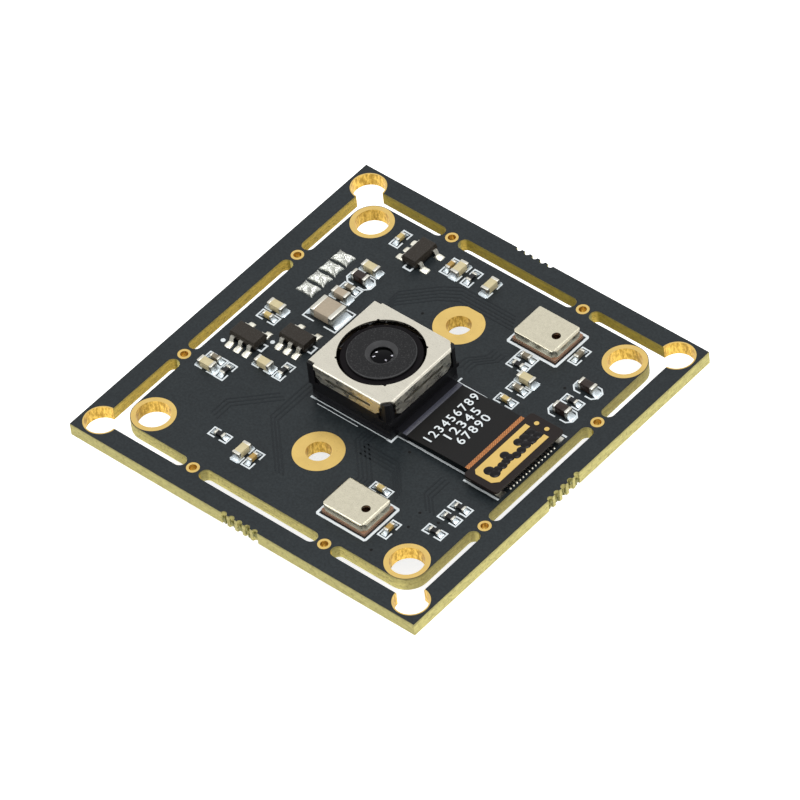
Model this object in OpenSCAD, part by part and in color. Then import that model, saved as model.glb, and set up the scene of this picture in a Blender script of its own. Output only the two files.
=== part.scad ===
// Camera board: a square circuit board with a voice-coil autofocus camera, its flex
// tail and connector, two microphones and a wire-to-board connector on the back.
// The origin is the centre of the four mounting holes, on the board's back face.
// +Z points out along the lens, and +X runs along the flex tail to its connector.

/* [Board] */
// Side of the square board, with its break-off frame
board_w = 38; // [37.5:0.5:40]
// Thickness of the board
board_t = 1.3; // [1.0:0.1:1.6]
// Side of the inner board, inside the routed slots
inner_w = 32; // [31.5:0.5:32]
// Width of the routed slots
slot_w = 1.2; // [1.0:0.1:1.2]
// Distance from a side's middle to each of its tabs
tab_pos = 7.25; // [6.5:0.25:8]
// Width of a tab between two slots
tab_w = 1.7; // [1.5:0.1:2.2]
// Diameter of a half-round break-off bite
bite_d = 0.55; // [0.3:0.05:0.7]

/* [Holes] */
// Spacing of the four mounting holes
mount_pitch = 28; // [27:0.5:28]
// Diameter of a mounting hole
mount_hole_d = 3; // [2:0.1:3.2]
// Diameter of the gold ring round a mounting hole
mount_ring_d = 3.9; // [3.5:0.1:3.9]
// Spacing of the four holes in the break-off frame
frame_pitch = 34.2; // [34:0.1:34.4]
// Diameter of a hole in the break-off frame
frame_hole_d = 3; // [2.8:0.1:3.1]
// Diameter of the gold rim of a hole in the break-off frame
frame_ring_d = 3.24; // [3.2:0.02:3.3]
// Spacing of the two holes for a lens holder
holder_pitch = 18; // [18:0.5:20]
// Diameter of a lens holder hole
holder_hole_d = 2.2; // [1.6:0.1:2.6]
// Diameter of the gold ring round a lens holder hole
holder_ring_d = 4.5; // [3.6:0.1:4.6]

/* [Autofocus camera] */
// Side of the camera's steel cover
cover_w = 9; // [8.8:0.1:9.2]
// Height of the camera above the board
camera_h = 4.3; // [4.2:0.1:5]
// Place of the camera along X
camera_x = -0.2; // [-0.5:0.1:0.5]
// Place of the camera along Y
camera_y = -0.2; // [-0.5:0.1:0.5]
// Diameter of the opening in the cover
window_d = 7.6; // [7.4:0.1:7.7]
// Diameter of the lens barrel's face
barrel_face_d = 6; // [5.7:0.05:6.1]
// Travel of the lens for focusing
focus_travel = 0.3; // [0.1:0.05:0.35]

/* [Flex tail] */
// Width of the flex tail
flex_w = 7.2; // [6:0.1:7.4]
// Thickness of the flex tail
flex_t = 0.12; // [0.08:0.01:0.2]
// Height of the connector board's underside above the main board
head_z = 0.85; // [0.8:0.05:1]

/* [Microphones] */
// Length of a microphone
mic_l = 4.72; // [4:0.02:5]
// Width of a microphone
mic_w = 3.76; // [3:0.02:4]
// Height of a microphone
mic_h = 1.25; // [1:0.05:1.4]

/* [Wire connector] */
// Distance between two pins of the wire connector
pin_pitch = 1.5; // [1.25:0.25:1.5]
// Height of the wire connector under the board
wire_h = 4; // [3.5:0.1:4.4]

/* [Hidden] */
$fn = 48;
tiny = 0.01;

// Board and holes
copper_t = 0.04;
barrel_t = 0.05;
via_hole_d = 0.7;
via_ring_d = 1.16;
inner_half = inner_w / 2;
slot_mid = inner_half + slot_w / 2;
corner_r = inner_half - mount_pitch / 2;
slot_end_in = tab_pos - tab_w / 2 - slot_w / 2;
slot_end_out = tab_pos + tab_w / 2 + slot_w / 2;
bite_pitch = 0.85;
bite_sides = [0, 180, 270];
quarters = [0, 90, 180, 270];

// Heights in the camera, above the board's front face
tape_t = 0.1;
substrate_top = 0.8;
holder_top = 1.7;
filter_t = 0.3;
base_floor_top = 2.1;
base_rim_top = 2.25;
spring_t = 0.05;
carrier_z0 = base_rim_top + spring_t;
coil_z0 = carrier_z0 + 0.1;
cover_t = 0.2;
cover_top = camera_h;
cover_under = cover_top - cover_t;
flange_z0 = cover_under - 0.33;
upper_spring_z = flange_z0 - spring_t;
coil_z1 = upper_spring_z - 0.12;
skirt_x_z = cover_top - 2;
skirt_y_z = cover_top - 1.7;
post_top = cover_top - 0.15;

// Plan sizes in the camera
cover_half = cover_w / 2;
cover_in = cover_half - cover_t;
base_half = cover_half - 0.05;
holder_half = cover_half - 0.2;
notch_leg = 0.85;
step_l = 0.8;
step_w = 0.28;
slot_l = 5;
slot_h = 0.26;
tongue_l = 1.2;
carrier_r = 3.2;
carrier_bore_r = 2.75;
flange_r = 3.55;
coil_r = 3.42;
magnet_l = 4.6;
magnet_y = 3.62;

// Lens stack, from the front element to the rear one
aperture_r = 0.97;
recess_r = 1.4;
recess_deep = 0.3;
lens_bore_r = [1.75, 1.95, 2.15, 2.35, 2.5];
lens_clear_r = [0.94, 1.1, 1.35, 1.6, 1.9];
lens_front_sag = [0.12, -0.05, 0.05, -0.06, 0.05];
lens_rear_sag = [-0.06, 0.06, -0.05, 0.06, -0.1];
spacer_bore_r = [1.05, 1.25, 1.5, 1.8];
lens_flange_t = 0.27;
spacer_t = 0.14;
lens_step = lens_flange_t + spacer_t;
stack_top = cover_top - 0.45;
barrel_foot = stack_top - 4 * lens_step - lens_flange_t - spacer_t;

// Flex tail and its connector
tail_x0 = camera_x + holder_half + tongue_l + 0.05;
tail_z0 = 0.66;
tail_bow = 0.04;
head_x0 = 12.15;
head_l = 3.6;
head_w = 8.8;
head_y = -0.25;
head_t = 0.25;
tail_z1 = head_z;
tail_y = head_y;
tail_steps = 14;
strip_w = 0.44;
plug_x = 13.75;
plug_l = 6.9;
plug_w = 1.9;
socket_l = 8.2;
socket_w = 2.6;
socket_h = 0.75;
contact_pitch = 0.4;
contact_count = 15;
contact_w = 0.18;
contact_reach = 1.85;

// Microphones
mic_x = 7.1;
mic_y = 12.2;
mic_base_h = 0.35;
mic_port_d = 0.8;
mic_corner_r = 0.5;
mic_edge_r = 0.25;
mic_wall = 0.12;

// Small-outline regulators: [x, y, turn]
regulators = [[-7.9, 13.2, 90], [-9.7, -0.5, 180], [-13.25, -2.8, 180]];
reg_l = 2.9;
reg_w = 1.6;
reg_z0 = 0.08;
reg_h = 1.0;
reg_span = 2.9;
reg_pitch = 0.95;
lead_w = 0.4;
lead_t = 0.15;

// Two-terminal parts: [x, y, turn]; their long side lies along X before the turn
small_capacitors = [
    [-10.65, 13.85, 90], [-5.0, 13.85, 90], [-10.2, 6.75, 0], [-13.68, 0.2, 0],
    [-14.0, -6.15, 0], [10.55, 12.2, 90], [8.9, 6.2, 0], [8.9, 4.6, 0],
    [10.55, -12.2, 90], [-3.8, -12.95, 90], [7.1, 9.4, 0], [7.1, -9.25, 0]
];
wide_capacitors = [
    [-4.0, 13.85, 90], [-0.6, 13.85, 90], [-10.2, 9.5, 0], [-10.2, 5.65, 0],
    [-13.68, 1.35, 0], [-14.0, -7.2, 0], [-10.15, -4.3, 0], [8.9, 7.3, 0],
    [-4.97, -12.95, 90]
];
resistors = [
    [-2.7, 13.85, 90], [-12.4, -6.7, 90], [-8.4, -3.85, 90], [-7.85, -12.5, 0],
    [7.1, 8.35, 0], [13.45, 7.8, 0], [13.75, -6.95, 0], [13.75, -8.3, 0],
    [13.75, -10.2, 0]
];
ferrites = [[-10.15, 8.1, 0], [13.6, 9.65, 0], [13.6, 6.35, 0]];
back_capacitors = [[-8.5, 1.5, 90], [-6.9, 1.5, 90], [9.2, -1.6, 90], [10.8, -1.6, 90], [4.5, -7.4, 0]];
// Their sizes: [length, width, height, terminal, land length]
small_size = [1.0, 0.5, 0.5, 0.22, 0.4];
wide_size = [1.6, 0.8, 0.75, 0.3, 0.25];
resistor_size = [1.0, 0.5, 0.35, 0.22, 0.4];
ferrite_size = [1.6, 0.8, 0.85, 0.32, 0.5];
large_size = [2.5, 2.0, 1.0, 0.5, 0.55];
large_capacitor = [-9.7, 3.45, 0];

// Wire connector on the back, with its joints on the front
wire_x = -13.1;
wire_y = 6.95;
wire_count = 4;
wire_pin_w = 0.5;
wire_body_x = 3.4;
wire_wall = 0.45;
wire_body_y = (wire_count - 1) * pin_pitch + 3.6;
wire_floor = 0.7;
joint_l = 1.9;
joint_w = 1.3;
joint_h = 0.6;
wire_hole_d = 0.8;

// Chips on the back
proc_x = 2.5;
proc_w = 9;
proc_h = 0.85;
land_count = 16;
land_pitch = 0.5;
flash_x = -6.6;
flash_y = -10;
flash_w = 5.2;
flash_h = 1.8;
crystal_x = 11;
crystal_y = 6.5;

// ---- Shared shapes ----

// Children at all four sign pairs of a square pattern
module at_corners(pitch) {
    for (sx = [-1, 1], sy = [-1, 1])
        translate([sx * pitch / 2, sy * pitch / 2, 0]) children();
}

// Children in the camera's own frame, on the board's front face
module at_camera(z = 0) {
    translate([camera_x, camera_y, board_t + z]) children();
}

// A block centred on the Z axis
module block(size, z0, z1) {
    translate([-size[0] / 2, -size[1] / 2, z0]) cube([size[0], size[1], z1 - z0]);
}

// A flat rectangle with round corners
module round_rect(l, w, r) {
    square([l - 2 * r, w], center = true);
    square([l, w - 2 * r], center = true);
    for (sx = [-1, 1], sy = [-1, 1])
        translate([sx * (l / 2 - r), sy * (w / 2 - r)]) circle(r = r);
}

// A tube on the Z axis
module tube(r_out, r_in, z0, z1) {
    translate([0, 0, z0]) difference() {
        cylinder(r = r_out, h = z1 - z0);
        translate([0, 0, -1]) cylinder(r = r_in, h = z1 - z0 + 2);
    }
}

// A side profile of a lid: a rectangle on the ground with two soft top corners
module soft_profile(w, h, r) {
    translate([-w / 2, 0]) square([w, h - r]);
    translate([-w / 2 + r, 0]) square([w - 2 * r, h]);
    for (s = [-1, 1]) translate([s * (w / 2 - r), h - r]) circle(r = r);
}

// A box with soft top edges and mitred corners
module soft_box(l, w, h, r) {
    intersection() {
        translate([0, w / 2, 0]) rotate([90, 0, 0]) linear_extrude(w) soft_profile(l, h, r);
        translate([-l / 2, 0, 0]) rotate([90, 0, 90]) linear_extrude(l) soft_profile(w, h, r);
    }
}

// A moulded chip body: sides that slope in from a parting line at mid height
module chip_body(l, w, z0, z1, slope) {
    zm = (z0 + z1) / 2;
    function side(s) = [[-s / 2 + slope, z0], [s / 2 - slope, z0], [s / 2, zm], [s / 2 - slope, z1],
                        [-s / 2 + slope, z1], [-s / 2, zm]];
    intersection() {
        translate([0, w / 2, 0]) rotate([90, 0, 0]) linear_extrude(w) polygon(side(l));
        translate([-l / 2, 0, 0]) rotate([90, 0, 90]) linear_extrude(l) polygon(side(w));
    }
}

// A bent lead from a body's flank down to its foot, towards +X
module gull_lead(x0, x1, z_top, w) {
    knee = x0 + 0.3 * (x1 - x0);
    foot = x0 + 0.6 * (x1 - x0);
    translate([0, w / 2, 0]) rotate([90, 0, 0]) linear_extrude(w) polygon([
        [x0, z_top], [knee, z_top], [foot, lead_t], [x1, lead_t],
        [x1, 0], [foot - lead_t / 2, 0], [knee - lead_t / 2, z_top - lead_t], [x0, z_top - lead_t]
    ]);
}

// ---- Board ----

// The routed slots: one along the middle of each side and one round each corner
module slots_2d() {
    for (a = quarters) rotate(a) {
        translate([0, slot_mid]) square([2 * slot_end_in, slot_w], center = true);
        for (s = [-1, 1]) translate([s * slot_end_in, slot_mid]) circle(d = slot_w);
        corner_slot_2d();
    }
}

module corner_slot_2d() {
    c = mount_pitch / 2;
    for (m = [0, 1]) mirror([m, -m]) {
        translate([slot_end_out, inner_half]) square([c - slot_end_out, slot_w]);
        translate([slot_end_out, slot_mid]) circle(d = slot_w);
    }
    translate([c, c]) difference() {
        square(corner_r + slot_w);
        circle(r = corner_r);
    }
}

module bites_2d() {
    for (a = bite_sides, i = [-2:2])
        rotate(a) translate([i * bite_pitch, board_w / 2]) circle(d = bite_d);
}

module tab_vias() {
    for (a = quarters, s = [-1, 1])
        rotate(a) translate([s * tab_pos, slot_mid, 0]) children();
}

// The space that a plated hole's copper takes in the board
module plating_space(hole_d, ring_d) {
    translate([0, 0, -1]) cylinder(d = hole_d + 2 * barrel_t, h = board_t + 2);
    translate([0, 0, -1]) cylinder(d = ring_d, h = 1 + copper_t);
    translate([0, 0, board_t - copper_t]) cylinder(d = ring_d, h = 1);
}

module plated_hole(hole_d, ring_d) {
    intersection() {
        block([ring_d + 1, ring_d + 1], 0, board_t);
        difference() {
            plating_space(hole_d, ring_d);
            translate([0, 0, -1]) cylinder(d = hole_d, h = board_t + 2);
        }
    }
}

module board() {
    color("darkslategray") difference() {
        linear_extrude(board_t) difference() {
            square(board_w, center = true);
            slots_2d();
            bites_2d();
        }
        at_corners(mount_pitch) plating_space(mount_hole_d, mount_ring_d);
        at_corners(frame_pitch) plating_space(frame_hole_d, frame_ring_d);
        for (s = [-1, 1])
            translate([0, s * holder_pitch / 2, 0]) plating_space(holder_hole_d, holder_ring_d);
        tab_vias() plating_space(via_hole_d, via_ring_d);
        wire_pin_places()
            translate([0, 0, -1]) cylinder(d = wire_hole_d, h = board_t + 2, $fn = 24);
    }
}

module mounting_hole_plating() {
    color("gold") at_corners(mount_pitch) plated_hole(mount_hole_d, mount_ring_d);
}

// These holes break into the corner slots, so their copper is an open ring
module frame_hole_plating() {
    color("gold") difference() {
        at_corners(frame_pitch) plated_hole(frame_hole_d, frame_ring_d);
        translate([0, 0, -1]) linear_extrude(board_t + 2) slots_2d();
    }
}

module holder_hole_plating() {
    color("gold") for (s = [-1, 1])
        translate([0, s * holder_pitch / 2, 0]) plated_hole(holder_hole_d, holder_ring_d);
}

module tab_via_plating() {
    color("gold") tab_vias() plated_hole(via_hole_d, via_ring_d);
}

// ---- Autofocus camera, fixed pieces ----

module camera_tape() {
    color("dimgray") at_camera() block([8.2, 8.2], 0, tape_t);
}

// The rigid end of the flex circuit, with a tongue that the tail leaves from
module camera_substrate() {
    color("#3a3644") at_camera(tape_t) linear_extrude(substrate_top - tape_t) {
        square(2 * holder_half, center = true);
        translate([0, -flex_w / 2]) square([holder_half + tongue_l + 0.05, flex_w]);
    }
}

module image_sensor() {
    color("darkslateblue") at_camera() block([6.6, 5], substrate_top, substrate_top + 0.2);
}

// A frame over the sensor, with a ledge for the filter glass
module sensor_holder() {
    seat_z = holder_top - filter_t;
    color("#202022") at_camera() difference() {
        block([2 * holder_half, 2 * holder_half], substrate_top, holder_top);
        block([7.6, 7], substrate_top - 1, seat_z - 0.15);
        block([5.8, 4.8], substrate_top, holder_top + 1);
        block([6.6, 5.6], seat_z, holder_top + 1);
    }
}

module infrared_filter() {
    color("lightskyblue") at_camera() block([6.6, 5.6], holder_top - filter_t, holder_top);
}

// Plan of a corner post's foot, which carries the upper spring under the cover
module post_inner_2d() {
    translate([3.45, 3.45]) square(cover_in - 0.04 - 3.45);
}

// Plan of a corner post's outer edge, in a corner of the cover that is cut off
module post_outer_2d() {
    e = base_half;
    n = cover_w - notch_leg + 0.07;
    polygon([[e, n - e], [e, e - 0.3], [e - 0.3, e], [n - e, e]]);
}

// Plan of a corner post's outer edge, in a corner of the cover that is stepped in
module post_step_2d() {
    x = cover_half - step_l + 0.03;
    y = cover_half - step_w + 0.03;
    translate([x, y]) square([base_half - x, base_half - y]);
}

module coil_base() {
    rim_half = cover_in - 0.05;
    color("#1c1c1e") at_camera() {
        difference() {
            union() {
                block([2 * base_half, 2 * base_half], holder_top, base_floor_top);
                difference() {
                    block([2 * rim_half, 2 * rim_half], base_floor_top - tiny, base_rim_top);
                    block([7.2, 7.2], base_floor_top - 1, base_rim_top + 1);
                }
                for (s = [-1, 1]) translate([0, s * (cover_in + base_half) / 2, 0])
                    block([6.6, base_half - cover_in], base_floor_top - tiny, skirt_y_z - 0.05);
            }
            translate([0, 0, holder_top - 1]) cylinder(r = 2.95, h = 4);
        }
        for (x = [0, 1]) mirror([x, 0, 0]) for (y = [0, 1]) mirror([0, y, 0])
            translate([0, 0, base_floor_top - tiny]) {
                linear_extrude(upper_spring_z - base_floor_top + tiny) post_inner_2d();
                linear_extrude(post_top - base_floor_top + tiny)
                    if (x == 0) post_outer_2d(); else post_step_2d();
            }
    }
}

// A folded steel cover: a round window, a long slot in each wall and four notched corners
module steel_cover() {
    color("silver") at_camera() difference() {
        translate([0, 0, skirt_x_z]) soft_box(cover_w, cover_w, cover_top - skirt_x_z, 0.22);
        block([2 * cover_in, 2 * cover_in], skirt_x_z - 1, cover_under);
        translate([0, 0, cover_under - 1]) cylinder(d = window_d, h = 3, $fn = 96);
        for (a = quarters) rotate(a + 45)
            translate([window_d / 2, 0, cover_under - 1]) cylinder(r = 0.13, h = 3, $fn = 16);
        corner_notches();
        for (a = quarters) rotate(a) wall_cuts(a % 180 == 0);
    }
}

// The +X corners are cut off, and the -X corners are stepped in from the walls beside them
module corner_notches() {
    far = cover_w - notch_leg;
    for (a = [45, -45]) rotate(a)
        translate([far / sqrt(2), -2, 0]) cube([2, 4, cover_top + 1]);
    for (y = [0, 1]) mirror([0, y, 0]) translate([-cover_half - 1, cover_half - step_w, 0])
        cube([1 + step_l, 1, cover_top + 1]);
}

// Cuts in the wall on the -Y side before its turn: the hem, its two clipped ends and the slot
module wall_cuts(short) {
    hem = short ? skirt_y_z : skirt_x_z;
    slot_z = cover_top - 1;
    clip_l = 0.7;
    clip_h = 0.55;
    end = cover_half - notch_leg;
    translate([-cover_half - 1, -cover_half - 1, skirt_x_z - 1])
        cube([cover_w + 2, 1 + cover_t + tiny, hem - skirt_x_z + 1]);
    translate([0, 1 - cover_half, 0]) rotate([90, 0, 0]) linear_extrude(2) for (s = [-1, 1])
        polygon([[s * (end - clip_l), hem - tiny], [s * (end + 1), hem - tiny],
                 [s * (end + 1), hem + clip_h + 1], [s * end, hem + clip_h]]);
    translate([-slot_l / 2, -cover_half - 1, slot_z - slot_h / 2]) cube([slot_l, 2, slot_h]);
}

module magnet(turn) {
    color("slategray") at_camera() rotate(turn) translate([0, (magnet_y + cover_in) / 2, 0])
        block([magnet_l, cover_in - magnet_y], coil_z0 - 0.05, coil_z1 + 0.05);
}

module magnet_front() { magnet(180); }
module magnet_rear() { magnet(0); }
module magnet_left() { magnet(90); }
module magnet_right() { magnet(270); }

// A flat spring: an outer frame, an inner ring and one curved arm in each corner
module leaf_spring_2d(outer_half, ring_r_in, corner_cut) {
    frame_in = 3.75;
    arm_r = 3.9;
    arm_w = 0.12;
    difference() {
        square(2 * outer_half, center = true);
        square(2 * frame_in, center = true);
        for (a = quarters) rotate(a) translate([corner_cut, corner_cut]) square(2);
    }
    difference() {
        circle(r = 3.46, $fn = 72);
        circle(r = ring_r_in, $fn = 72);
    }
    for (a = quarters) rotate(a) {
        intersection() {
            difference() {
                circle(r = arm_r + arm_w / 2, $fn = 72);
                circle(r = arm_r - arm_w / 2, $fn = 72);
            }
            polygon([[0, 0], 6 * [cos(20), sin(20)], 6 * [1, 1], 6 * [cos(70), sin(70)]]);
        }
        rotate(21) translate([3.4, -0.08]) square([arm_r - 3.4, 0.16]);
        rotate(69) translate([arm_r, -0.08]) square([0.3, 0.16]);
    }
}

module upper_spring() {
    color("peru") at_camera(upper_spring_z) linear_extrude(spring_t)
        leaf_spring_2d(cover_in - 0.1, carrier_r, 3.85);
}

module lower_spring() {
    color("peru") at_camera(base_rim_top) linear_extrude(spring_t)
        leaf_spring_2d(cover_in - 0.1, 2.85, 3.4);
}

// ---- Autofocus camera, moving lens group ----

module voice_coil() {
    color("darkorange") at_camera() tube(coil_r, carrier_r, coil_z0, coil_z1);
}

// A bobbin: a bore for the lens barrel, a waist for the coil and two flanges
module lens_carrier() {
    top = cover_under - 0.08;
    color("#2b2730") at_camera() rotate_extrude($fn = 96) polygon([
        [carrier_bore_r, carrier_z0], [3.5, carrier_z0], [3.5, coil_z0], [carrier_r, coil_z0],
        [carrier_r, flange_z0], [flange_r, flange_z0], [flange_r, top - 0.06],
        [flange_r - 0.06, top], [carrier_bore_r, top]
    ]);
}

// The barrel's bore steps out from the aperture to the rear, one step for each element
module lens_barrel() {
    face_r = barrel_face_d / 2;
    face_z = cover_under - 0.03;
    bore = [for (i = [0:4]) each [[lens_bore_r[i], stack_top - i * lens_step],
                                  [lens_bore_r[i], i < 4 ? stack_top - (i + 1) * lens_step : barrel_foot]]];
    color("#303034") at_camera() rotate_extrude($fn = 96) polygon(concat(
        [[carrier_bore_r, barrel_foot], [carrier_bore_r, face_z], [face_r, face_z],
         [face_r, cover_top - 0.08], [face_r - 0.08, cover_top], [recess_r, cover_top],
         [aperture_r, cover_top - recess_deep], [aperture_r, stack_top]],
        bore));
}

// A dish of the given height over a flat disc; a negative height hollows the disc instead
module dish(r, sag) {
    s = abs(sag);
    ball_r = (r * r + s * s) / (2 * s);
    intersection() {
        translate([0, 0, s - ball_r]) sphere(r = ball_r, $fn = 96);
        translate([0, 0, -0.02]) cylinder(r = r, h = s + 0.04, $fn = 96);
    }
}

module lens_element(i) {
    z1 = stack_top - i * lens_step;
    front = lens_front_sag[i];
    rear = lens_rear_sag[i];
    c = lens_clear_r[i];
    color("lightcyan", 0.6) at_camera() difference() {
        union() {
            translate([0, 0, z1 - lens_flange_t])
                cylinder(r = lens_bore_r[i], h = lens_flange_t, $fn = 96);
            if (front > 0) translate([0, 0, z1]) dish(c, front);
            if (rear > 0) translate([0, 0, z1 - lens_flange_t]) mirror([0, 0, 1]) dish(c, rear);
        }
        if (front < 0) translate([0, 0, z1]) mirror([0, 0, 1]) dish(c, front);
        if (rear < 0) translate([0, 0, z1 - lens_flange_t]) dish(c, rear);
    }
}

module lens_spacers() {
    color("black") at_camera() for (i = [0:3])
        tube(lens_bore_r[i], spacer_bore_r[i],
             stack_top - (i + 1) * lens_step, stack_top - i * lens_step - lens_flange_t);
}

module retaining_ring() {
    color("#242428") at_camera() tube(lens_bore_r[4], 2.05, barrel_foot, barrel_foot + spacer_t);
}

// ---- Flex tail and its connector ----

// Height of the tail's underside: it bows up between the tongue and the connector board
function tail_t(x) = (x - tail_x0) / (head_x0 - tail_x0);
function tail_z(x) = tail_z0 + (tail_z1 - tail_z0) * tail_t(x) + tail_bow * sin(180 * tail_t(x));

// A sheet that follows the tail from x0 to x1, lifted off its underside by lift
module tail_sheet(x0, x1, lift, t, steps) {
    xs = [for (i = [0:steps]) x0 + (x1 - x0) * i / steps];
    under = [for (x = xs) [x, tail_z(x) + lift]];
    over = [for (i = [steps:-1:0]) [xs[i], tail_z(xs[i]) + lift + t]];
    translate([0, tail_y + flex_w / 2, board_t]) rotate([90, 0, 0])
        linear_extrude(flex_w) polygon(concat(under, over));
}

module flex_tail() {
    color("#262628") tail_sheet(tail_x0, head_x0, 0, flex_t, tail_steps);
}

module flex_bare_strip() {
    x1 = head_x0 - 0.03;
    color("chocolate") tail_sheet(x1 - strip_w, x1, flex_t, 0.02, 2);
}

module connector_board() {
    color("#2a2220") translate([head_x0 + head_l / 2, head_y, board_t + head_z])
        linear_extrude(head_t) round_rect(head_l, head_w, 0.35);
}

// A bare gold patch, with covered islands of joined rounds and bars, and two small marks
module flex_ground_pad() {
    rounds = [[-0.4, 1.45, 0.42], [0.3, 1.6, 0.45], [0.4, 0.9, 0.4], [0.42, 0.25, 0.4],
              [-0.35, -0.35, 0.42], [0.15, -0.3, 0.42], [0.2, -0.85, 0.38], [0.25, -1.35, 0.42],
              [0.22, -1.9, 0.38], [-0.25, -2.45, 0.48], [0.32, -2.4, 0.48]];
    l = 1.27;
    w = 3.4;
    color("goldenrod") translate([head_x0 + head_l / 2 - 0.05, head_y - 0.35, board_t + head_z + head_t])
        linear_extrude(0.03) {
            difference() {
                polygon([[l, w], [-l, w], [-l, 0.35 - w], [0.35 - l, -w], [l - 0.5, -w], [l, 0.5 - w]]);
                for (r = rounds) translate([r[0], r[1]]) circle(r = r[2], $fn = 32);
                translate([-0.75, 1.9]) square([1.5, w]);
            }
            for (s = [-1, 1]) translate([s * 0.55, 4]) circle(r = 0.22, $fn = 24);
        }
}

// Children at each contact of a row along Y
module contact_row() {
    for (i = [0:contact_count - 1])
        translate([0, (i - (contact_count - 1) / 2) * contact_pitch, 0]) children();
}

module both_rows() {
    translate([plug_x, 0, board_t]) for (a = [0, 180]) rotate(a) contact_row() children();
}

module plug_housing() {
    color("#3a3430") difference() {
        translate([plug_x, 0, board_t]) difference() {
            block([plug_w, plug_l], 0.2, head_z);
            block([0.7, plug_l - 0.6], 0, head_z - 0.2);
        }
        both_rows() plug_contact_shape(0.02);
    }
}

// A contact that lies in the plug's flank and turns out under the connector board
module plug_contact_shape(extra = 0) {
    w = contact_w + extra;
    translate([plug_w / 2 - 0.06, -w / 2, 0.3]) cube([0.06 + extra, w, head_z - 0.3]);
}

module plug_contacts() {
    color("gold") both_rows() plug_contact_shape();
}

module socket_housing() {
    color("#40362c") difference() {
        translate([plug_x, 0, board_t]) difference() {
            block([socket_w, socket_l], 0, socket_h);
            difference() {
                block([plug_w + 0.1, plug_l + 0.1], 0.15, socket_h + 1);
                block([0.5, plug_l - 0.9], 0, 0.6);
            }
        }
        both_rows() socket_contact_shape(0.02);
    }
}

// A contact strip that runs up inside the wall and out along the board as a tail
module socket_contact_shape(extra = 0) {
    w = contact_w + extra;
    in = plug_w / 2 + 0.05;
    translate([in - extra, -w / 2, 0]) cube([0.1 + 2 * extra, w, 0.6]);
    translate([in, -w / 2, 0]) cube([contact_reach - in + extra, w, 0.1 + extra]);
}

module socket_contacts() {
    color("gold") both_rows() socket_contact_shape();
}

// Solder tabs that hold the socket's four ends to the board
module socket_fittings() {
    color("silver") translate([plug_x, 0, board_t]) for (sx = [-1, 1], sy = [-1, 1])
        translate([sx * (socket_w / 2 + 0.3), sy * 3.75, 0]) {
            block([0.6, 0.75], 0, 0.12);
            translate([-sx * 0.24, 0, 0]) block([0.12, 0.6], 0.12 - tiny, 0.6);
        }
}

// ---- Microphones ----

module at_mic(side) {
    translate([mic_x, side * mic_y, board_t]) children();
}

module mic_base(side) {
    color("saddlebrown") at_mic(side) linear_extrude(mic_base_h) round_rect(mic_l, mic_w, 0.1);
}

// A drawn lid: open below, soft on top, with one round sound port
module mic_lid(side) {
    l = mic_l - 0.1;
    w = mic_w - 0.1;
    h = mic_h - mic_base_h;
    color("silver") at_mic(side) translate([0, 0, mic_base_h]) difference() {
        intersection() {
            soft_box(l, w, h, mic_edge_r);
            linear_extrude(h) round_rect(l, w, mic_corner_r);
        }
        translate([0, 0, -tiny]) linear_extrude(h - mic_edge_r)
            round_rect(l - 2 * mic_wall, w - 2 * mic_wall, mic_corner_r - mic_wall);
        translate([1.2, -0.2, 0]) cylinder(d = mic_port_d, h = 3, $fn = 32);
    }
}

module mic_lid_upper() { mic_lid(1); }
module mic_base_upper() { mic_base(1); }
module mic_lid_lower() { mic_lid(-1); }
module mic_base_lower() { mic_base(-1); }

// ---- Regulators: three leads on one side, two on the other ----

module at_regulator(r) {
    translate([r[0], r[1], board_t]) rotate(r[2]) children();
}

module regulator(i) {
    color("#2c2a28") at_regulator(regulators[i])
        chip_body(reg_l, reg_w, reg_z0, reg_h, 0.1);
}

module regulator_1() { regulator(0); }
module regulator_2() { regulator(1); }
module regulator_3() { regulator(2); }

module regulator_leads() {
    z = (reg_z0 + reg_h) / 2 + lead_t / 2;
    color("silver") for (r = regulators) at_regulator(r) {
        for (i = [-1:1]) translate([i * reg_pitch, 0, 0])
            rotate(90) gull_lead(reg_w / 2 - 0.01, reg_span / 2, z, lead_w);
        for (i = [-1, 1]) translate([i * reg_pitch, 0, 0])
            rotate(-90) gull_lead(reg_w / 2 - 0.01, reg_span / 2, z, lead_w);
    }
}

// ---- Two-terminal parts ----

module at_part(p) {
    translate([p[0], p[1], board_t]) rotate(p[2]) children();
}

module at_back_part(p) {
    rotate([180, 0, 0]) translate([p[0], p[1], 0]) rotate(p[2]) children();
}

// The middle of a part, between its terminals
module part_middle(s) {
    block([s[0] - 2 * s[3], s[1] - 0.03], 0.03, s[2] - 0.02);
}

module part_ends(s) {
    for (e = [-1, 1]) translate([e * (s[0] - s[3]) / 2, 0, 0]) block([s[3], s[1]], 0.01, s[2]);
}

// A sloped fillet of solder at each end, on a flat land
module part_solder(s) {
    x = s[0] / 2;
    for (e = [0, 180]) rotate(e) translate([0, s[1] / 2, 0]) rotate([90, 0, 0]) linear_extrude(s[1])
        polygon([[x, 0], [x + s[4], 0], [x + s[4], 0.06], [x + s[4] * 0.5, 0.2 * s[2]], [x, 0.75 * s[2]]]);
}

module capacitor_bodies() {
    color("tan") {
        for (p = small_capacitors) at_part(p) part_middle(small_size);
        for (p = wide_capacitors) at_part(p) part_middle(wide_size);
        for (p = back_capacitors) at_back_part(p) part_middle(small_size);
    }
}

module resistor_bodies() {
    color("#1e1e20") for (p = resistors) at_part(p) part_middle(resistor_size);
}

module ferrite_bodies() {
    color("#3c3034") for (p = ferrites) at_part(p) part_middle(ferrite_size);
}

module large_capacitor_body() {
    color("rosybrown") at_part(large_capacitor) part_middle(large_size);
}

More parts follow.
